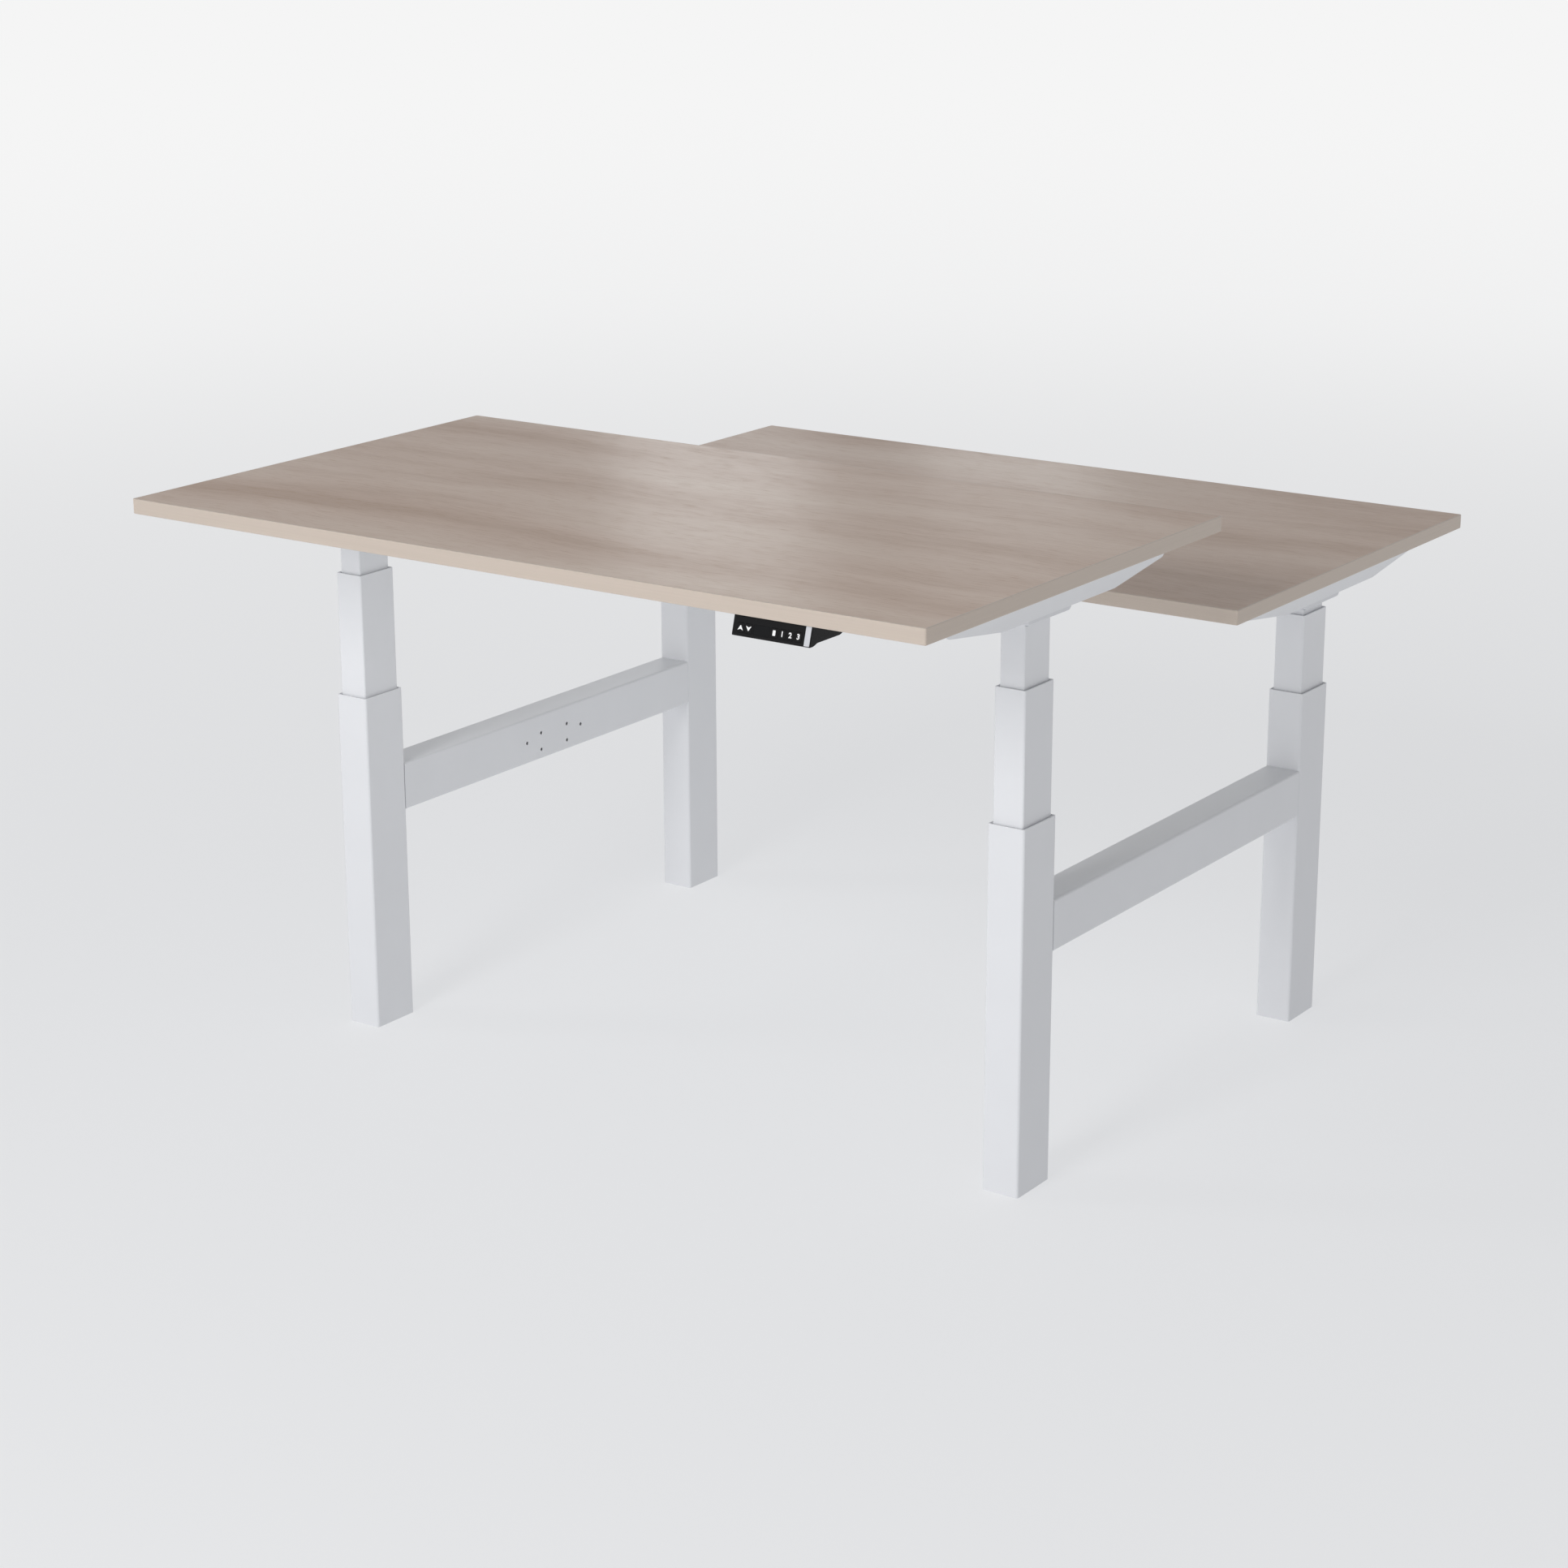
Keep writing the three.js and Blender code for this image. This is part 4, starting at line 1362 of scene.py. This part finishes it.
@dataclass(frozen=True)
class Softbox:
    """A soft rectangular studio lamp."""

    name: str
    position: Point
    target: Point
    size: Flat
    watts: float

    def hang(self) -> None:
        """Adds the lamp to the scene."""
        lamp = bpy.data.lights.new(self.name, "AREA")
        lamp.shape = "RECTANGLE"
        lamp.size, lamp.size_y = self.size
        lamp.energy = self.watts
        holder = bpy.data.objects.new(self.name, lamp)
        holder.location = self.position
        aim = Vector(self.target) - Vector(self.position)
        holder.rotation_euler = aim.to_track_quat("-Z", "Y").to_euler()
        holder.visible_camera = False
        bpy.context.scene.collection.objects.link(holder)


@dataclass
class Studio:
    """The pale floor, the soft light and the camera at the photograph's viewing angle.

    The floor glows in its own colour, and near the bench a share of it is a matt surface that keeps the
    shadow. The light that falls there in the open is the floor light. The sky's values are strengths.
    """

    floor_radius: float = 60.0
    floor_steps: int = 96
    floor_near: str = "DFE0E2"
    floor_far: str = "F5F5F5"
    floor_fade: float = 18.0
    floor_ease: float = 0.5
    floor_shadow: float = 0.3
    floor_light: float = 0.6
    shadow_full: float = 3.0
    shadow_gone: float = 8.0
    sky_colour: str = "FCFDFF"
    sky_low: float = 0.78
    sky_high: float = 0.26
    sky_high_from: float = 0.6
    sky_shown: float = 0.93
    picture_pixels: float = 1932.0
    focal_pixels: float = 4175.55
    sensor_mm: float = 36.0
    camera_at: Point = (2.9241, -4.3441, 1.9885)
    camera_azimuth: float = math.radians(34.81)
    camera_elevation: float = math.radians(16.91)
    camera_roll: float = math.radians(-0.17)
    softboxes: Tuple[Softbox, ...] = (
        Softbox("front_panel", (-0.4, -14.0, 1.2), (-0.2, 0.0, 0.7), (18.0, 2.2), 270.0),
        Softbox("key_softbox", (0.3, -5.7, 3.5), (0.0, 0.2, 0.8), (1.6, 2.0), 114.0),
        Softbox("left_softbox", (-8.7, -4.9, 5.4), (0.0, 0.0, 0.5), (2.2, 2.2), 95.0),
        Softbox("back_softbox", (-2.31, 2.86, 1.76), (-0.01, -0.3, 0.93), (0.5, 0.3), 1.8),
        Softbox("far_back_softbox", (-2.11, 4.09, 1.58), (-0.1, 0.72, 0.776), (0.5, 0.3), 1.2),
    )

    def floor(self) -> None:
        """Lays the pale floor, which brightens away from the bench and keeps a soft shadow."""
        material, tree, out = blank_material("pale_studio_floor")
        place = add_node(tree, "ShaderNodeTexCoord").outputs["Object"]
        away = add_node(tree, "ShaderNodeVectorMath", {"operation": "LENGTH"}, {0: place})
        eased = add_node(tree, "ShaderNodeMath", {"operation": "POWER"}, {
            0: away.outputs["Value"], 1: self.floor_ease})
        share = add_node(tree, "ShaderNodeMapRange", {"interpolation_type": "SMOOTHERSTEP"}, {
            "Value": eased.outputs[0], "From Max": self.floor_fade ** self.floor_ease})
        fade = add_node(tree, "ShaderNodeMix", {"data_type": "RGBA"}, {
            "Factor": share.outputs["Result"],
            COLOUR_A: linear(self.floor_near), COLOUR_B: linear(self.floor_far)})
        near_only = add_node(tree, "ShaderNodeMapRange", {"interpolation_type": "SMOOTHSTEP"}, {
            "Value": away.outputs["Value"], "From Min": self.shadow_full, "From Max": self.shadow_gone,
            "To Min": self.floor_shadow, "To Max": 0.0})
        catch = add_node(tree, "ShaderNodeBsdfDiffuse", inputs={"Color": near_only.outputs["Result"]})
        # The light that falls on the open floor is taken off its glow, so that the two give its colour.
        rest = add_node(tree, "ShaderNodeVectorMath", {"operation": "MULTIPLY_ADD"}, {
            0: near_only.outputs["Result"], 1: (-self.floor_light,) * 3, 2: fade.outputs[COLOUR_OUT]})
        glow = add_node(tree, "ShaderNodeEmission", inputs={"Color": rest.outputs[0]})
        both = add_node(tree, "ShaderNodeAddShader", inputs={0: glow.outputs[0], 1: catch.outputs[0]})
        tree.links.new(both.outputs[0], out.inputs[0])
        draft = Draft()
        rim = flat_ring(circle(self.floor_radius, self.floor_steps), 0.0)
        draft.mesh.faces.new([draft.mesh.verts.new(point) for point in rim])
        floor = draft.object("studio_floor")
        floor.data.materials.append(material)

    def sky(self) -> None:
        """Lights the scene evenly from all round, with a pale background."""
        world = bpy.data.worlds.new("studio_sky")
        bpy.context.scene.world = world
        world.use_nodes = True
        tree = world.node_tree
        tree.nodes.clear()
        towards = add_node(tree, "ShaderNodeSeparateXYZ", inputs={
            0: add_node(tree, "ShaderNodeTexCoord").outputs["Generated"]})
        walls = add_node(tree, "ShaderNodeMapRange", inputs={
            "Value": towards.outputs["Z"], "From Max": self.sky_high_from,
            "To Min": self.sky_low, "To Max": self.sky_high})
        # A ray from the camera, a reflection or clear glass shows the background. Others carry light.
        path = add_node(tree, "ShaderNodeLightPath").outputs
        seen = path["Is Camera Ray"]
        for ray in ("Is Glossy Ray", "Is Transmission Ray"):
            either = add_node(tree, "ShaderNodeMath", {"operation": "MAXIMUM"}, {0: seen, 1: path[ray]})
            seen = either.outputs[0]
        strength = add_node(tree, "ShaderNodeMix", {"data_type": "FLOAT"}, {
            "Factor": seen, NUMBER_A: walls.outputs["Result"], NUMBER_B: self.sky_shown})
        light = add_node(tree, "ShaderNodeBackground", inputs={
            "Color": linear(self.sky_colour), "Strength": strength.outputs[0]})
        add_node(tree, "ShaderNodeOutputWorld", inputs={0: light.outputs[0]})

    def camera(self) -> None:
        """Sets the camera where the photograph was taken from."""
        lens = bpy.data.cameras.new("photo_camera")
        lens.sensor_fit = "HORIZONTAL"
        lens.sensor_width = self.sensor_mm
        lens.lens = self.sensor_mm * self.focal_pixels / self.picture_pixels
        lens.clip_end = 2 * self.floor_radius
        holder = bpy.data.objects.new("photo_camera", lens)
        lift = Matrix.Rotation(QUARTER - self.camera_elevation, 4, "X")
        turn = Matrix.Rotation(self.camera_azimuth, 4, "Z") @ lift
        roll = Matrix.Rotation(self.camera_roll, 4, "Z")
        holder.matrix_world = Matrix.Translation(self.camera_at) @ turn @ roll
        bpy.context.scene.collection.objects.link(holder)
        bpy.context.scene.camera = holder

    def build(self) -> None:
        """Builds the studio."""
        self.floor()
        self.sky()
        for softbox in self.softboxes:
            softbox.hang()
        self.camera()
        bpy.context.scene.view_settings.view_transform = "Standard"


def desk_axes(desk: Desk) -> Matrix:
    """Axes of a desk at its top's underside, turned so that its user is on the -Y side.

    Args:
        desk: The desk.

    Returns:
        The matrix of those axes.
    """
    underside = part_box(f"{desk.value}_top")[0][2]
    turn = 0.0 if desk is Desk.NEAR else 2 * QUARTER
    return shift(0, 0, underside) @ Matrix.Rotation(turn, 4, "Z")


def main() -> None:
    """Builds the studio and the bench, piece by piece."""
    logging.basicConfig(level=logging.INFO, format="%(message)s")
    Studio().build()
    finishes = Finishes()
    for end in End:
        TieBeam(end).build(finishes)
    for desk in Desk:
        axes = desk_axes(desk)
        Board(desk).build(finishes)
        for end in End:
            Column(desk, end).build(finishes)
            Arm(desk, end).build(finishes)
        for name in ("front_rail", "rear_rail"):
            Rail(desk, name).build(finishes)
        ControlBox(desk).build(finishes, axes)
        Handset(desk).build(finishes, axes)


if __name__ == "__main__":
    main()
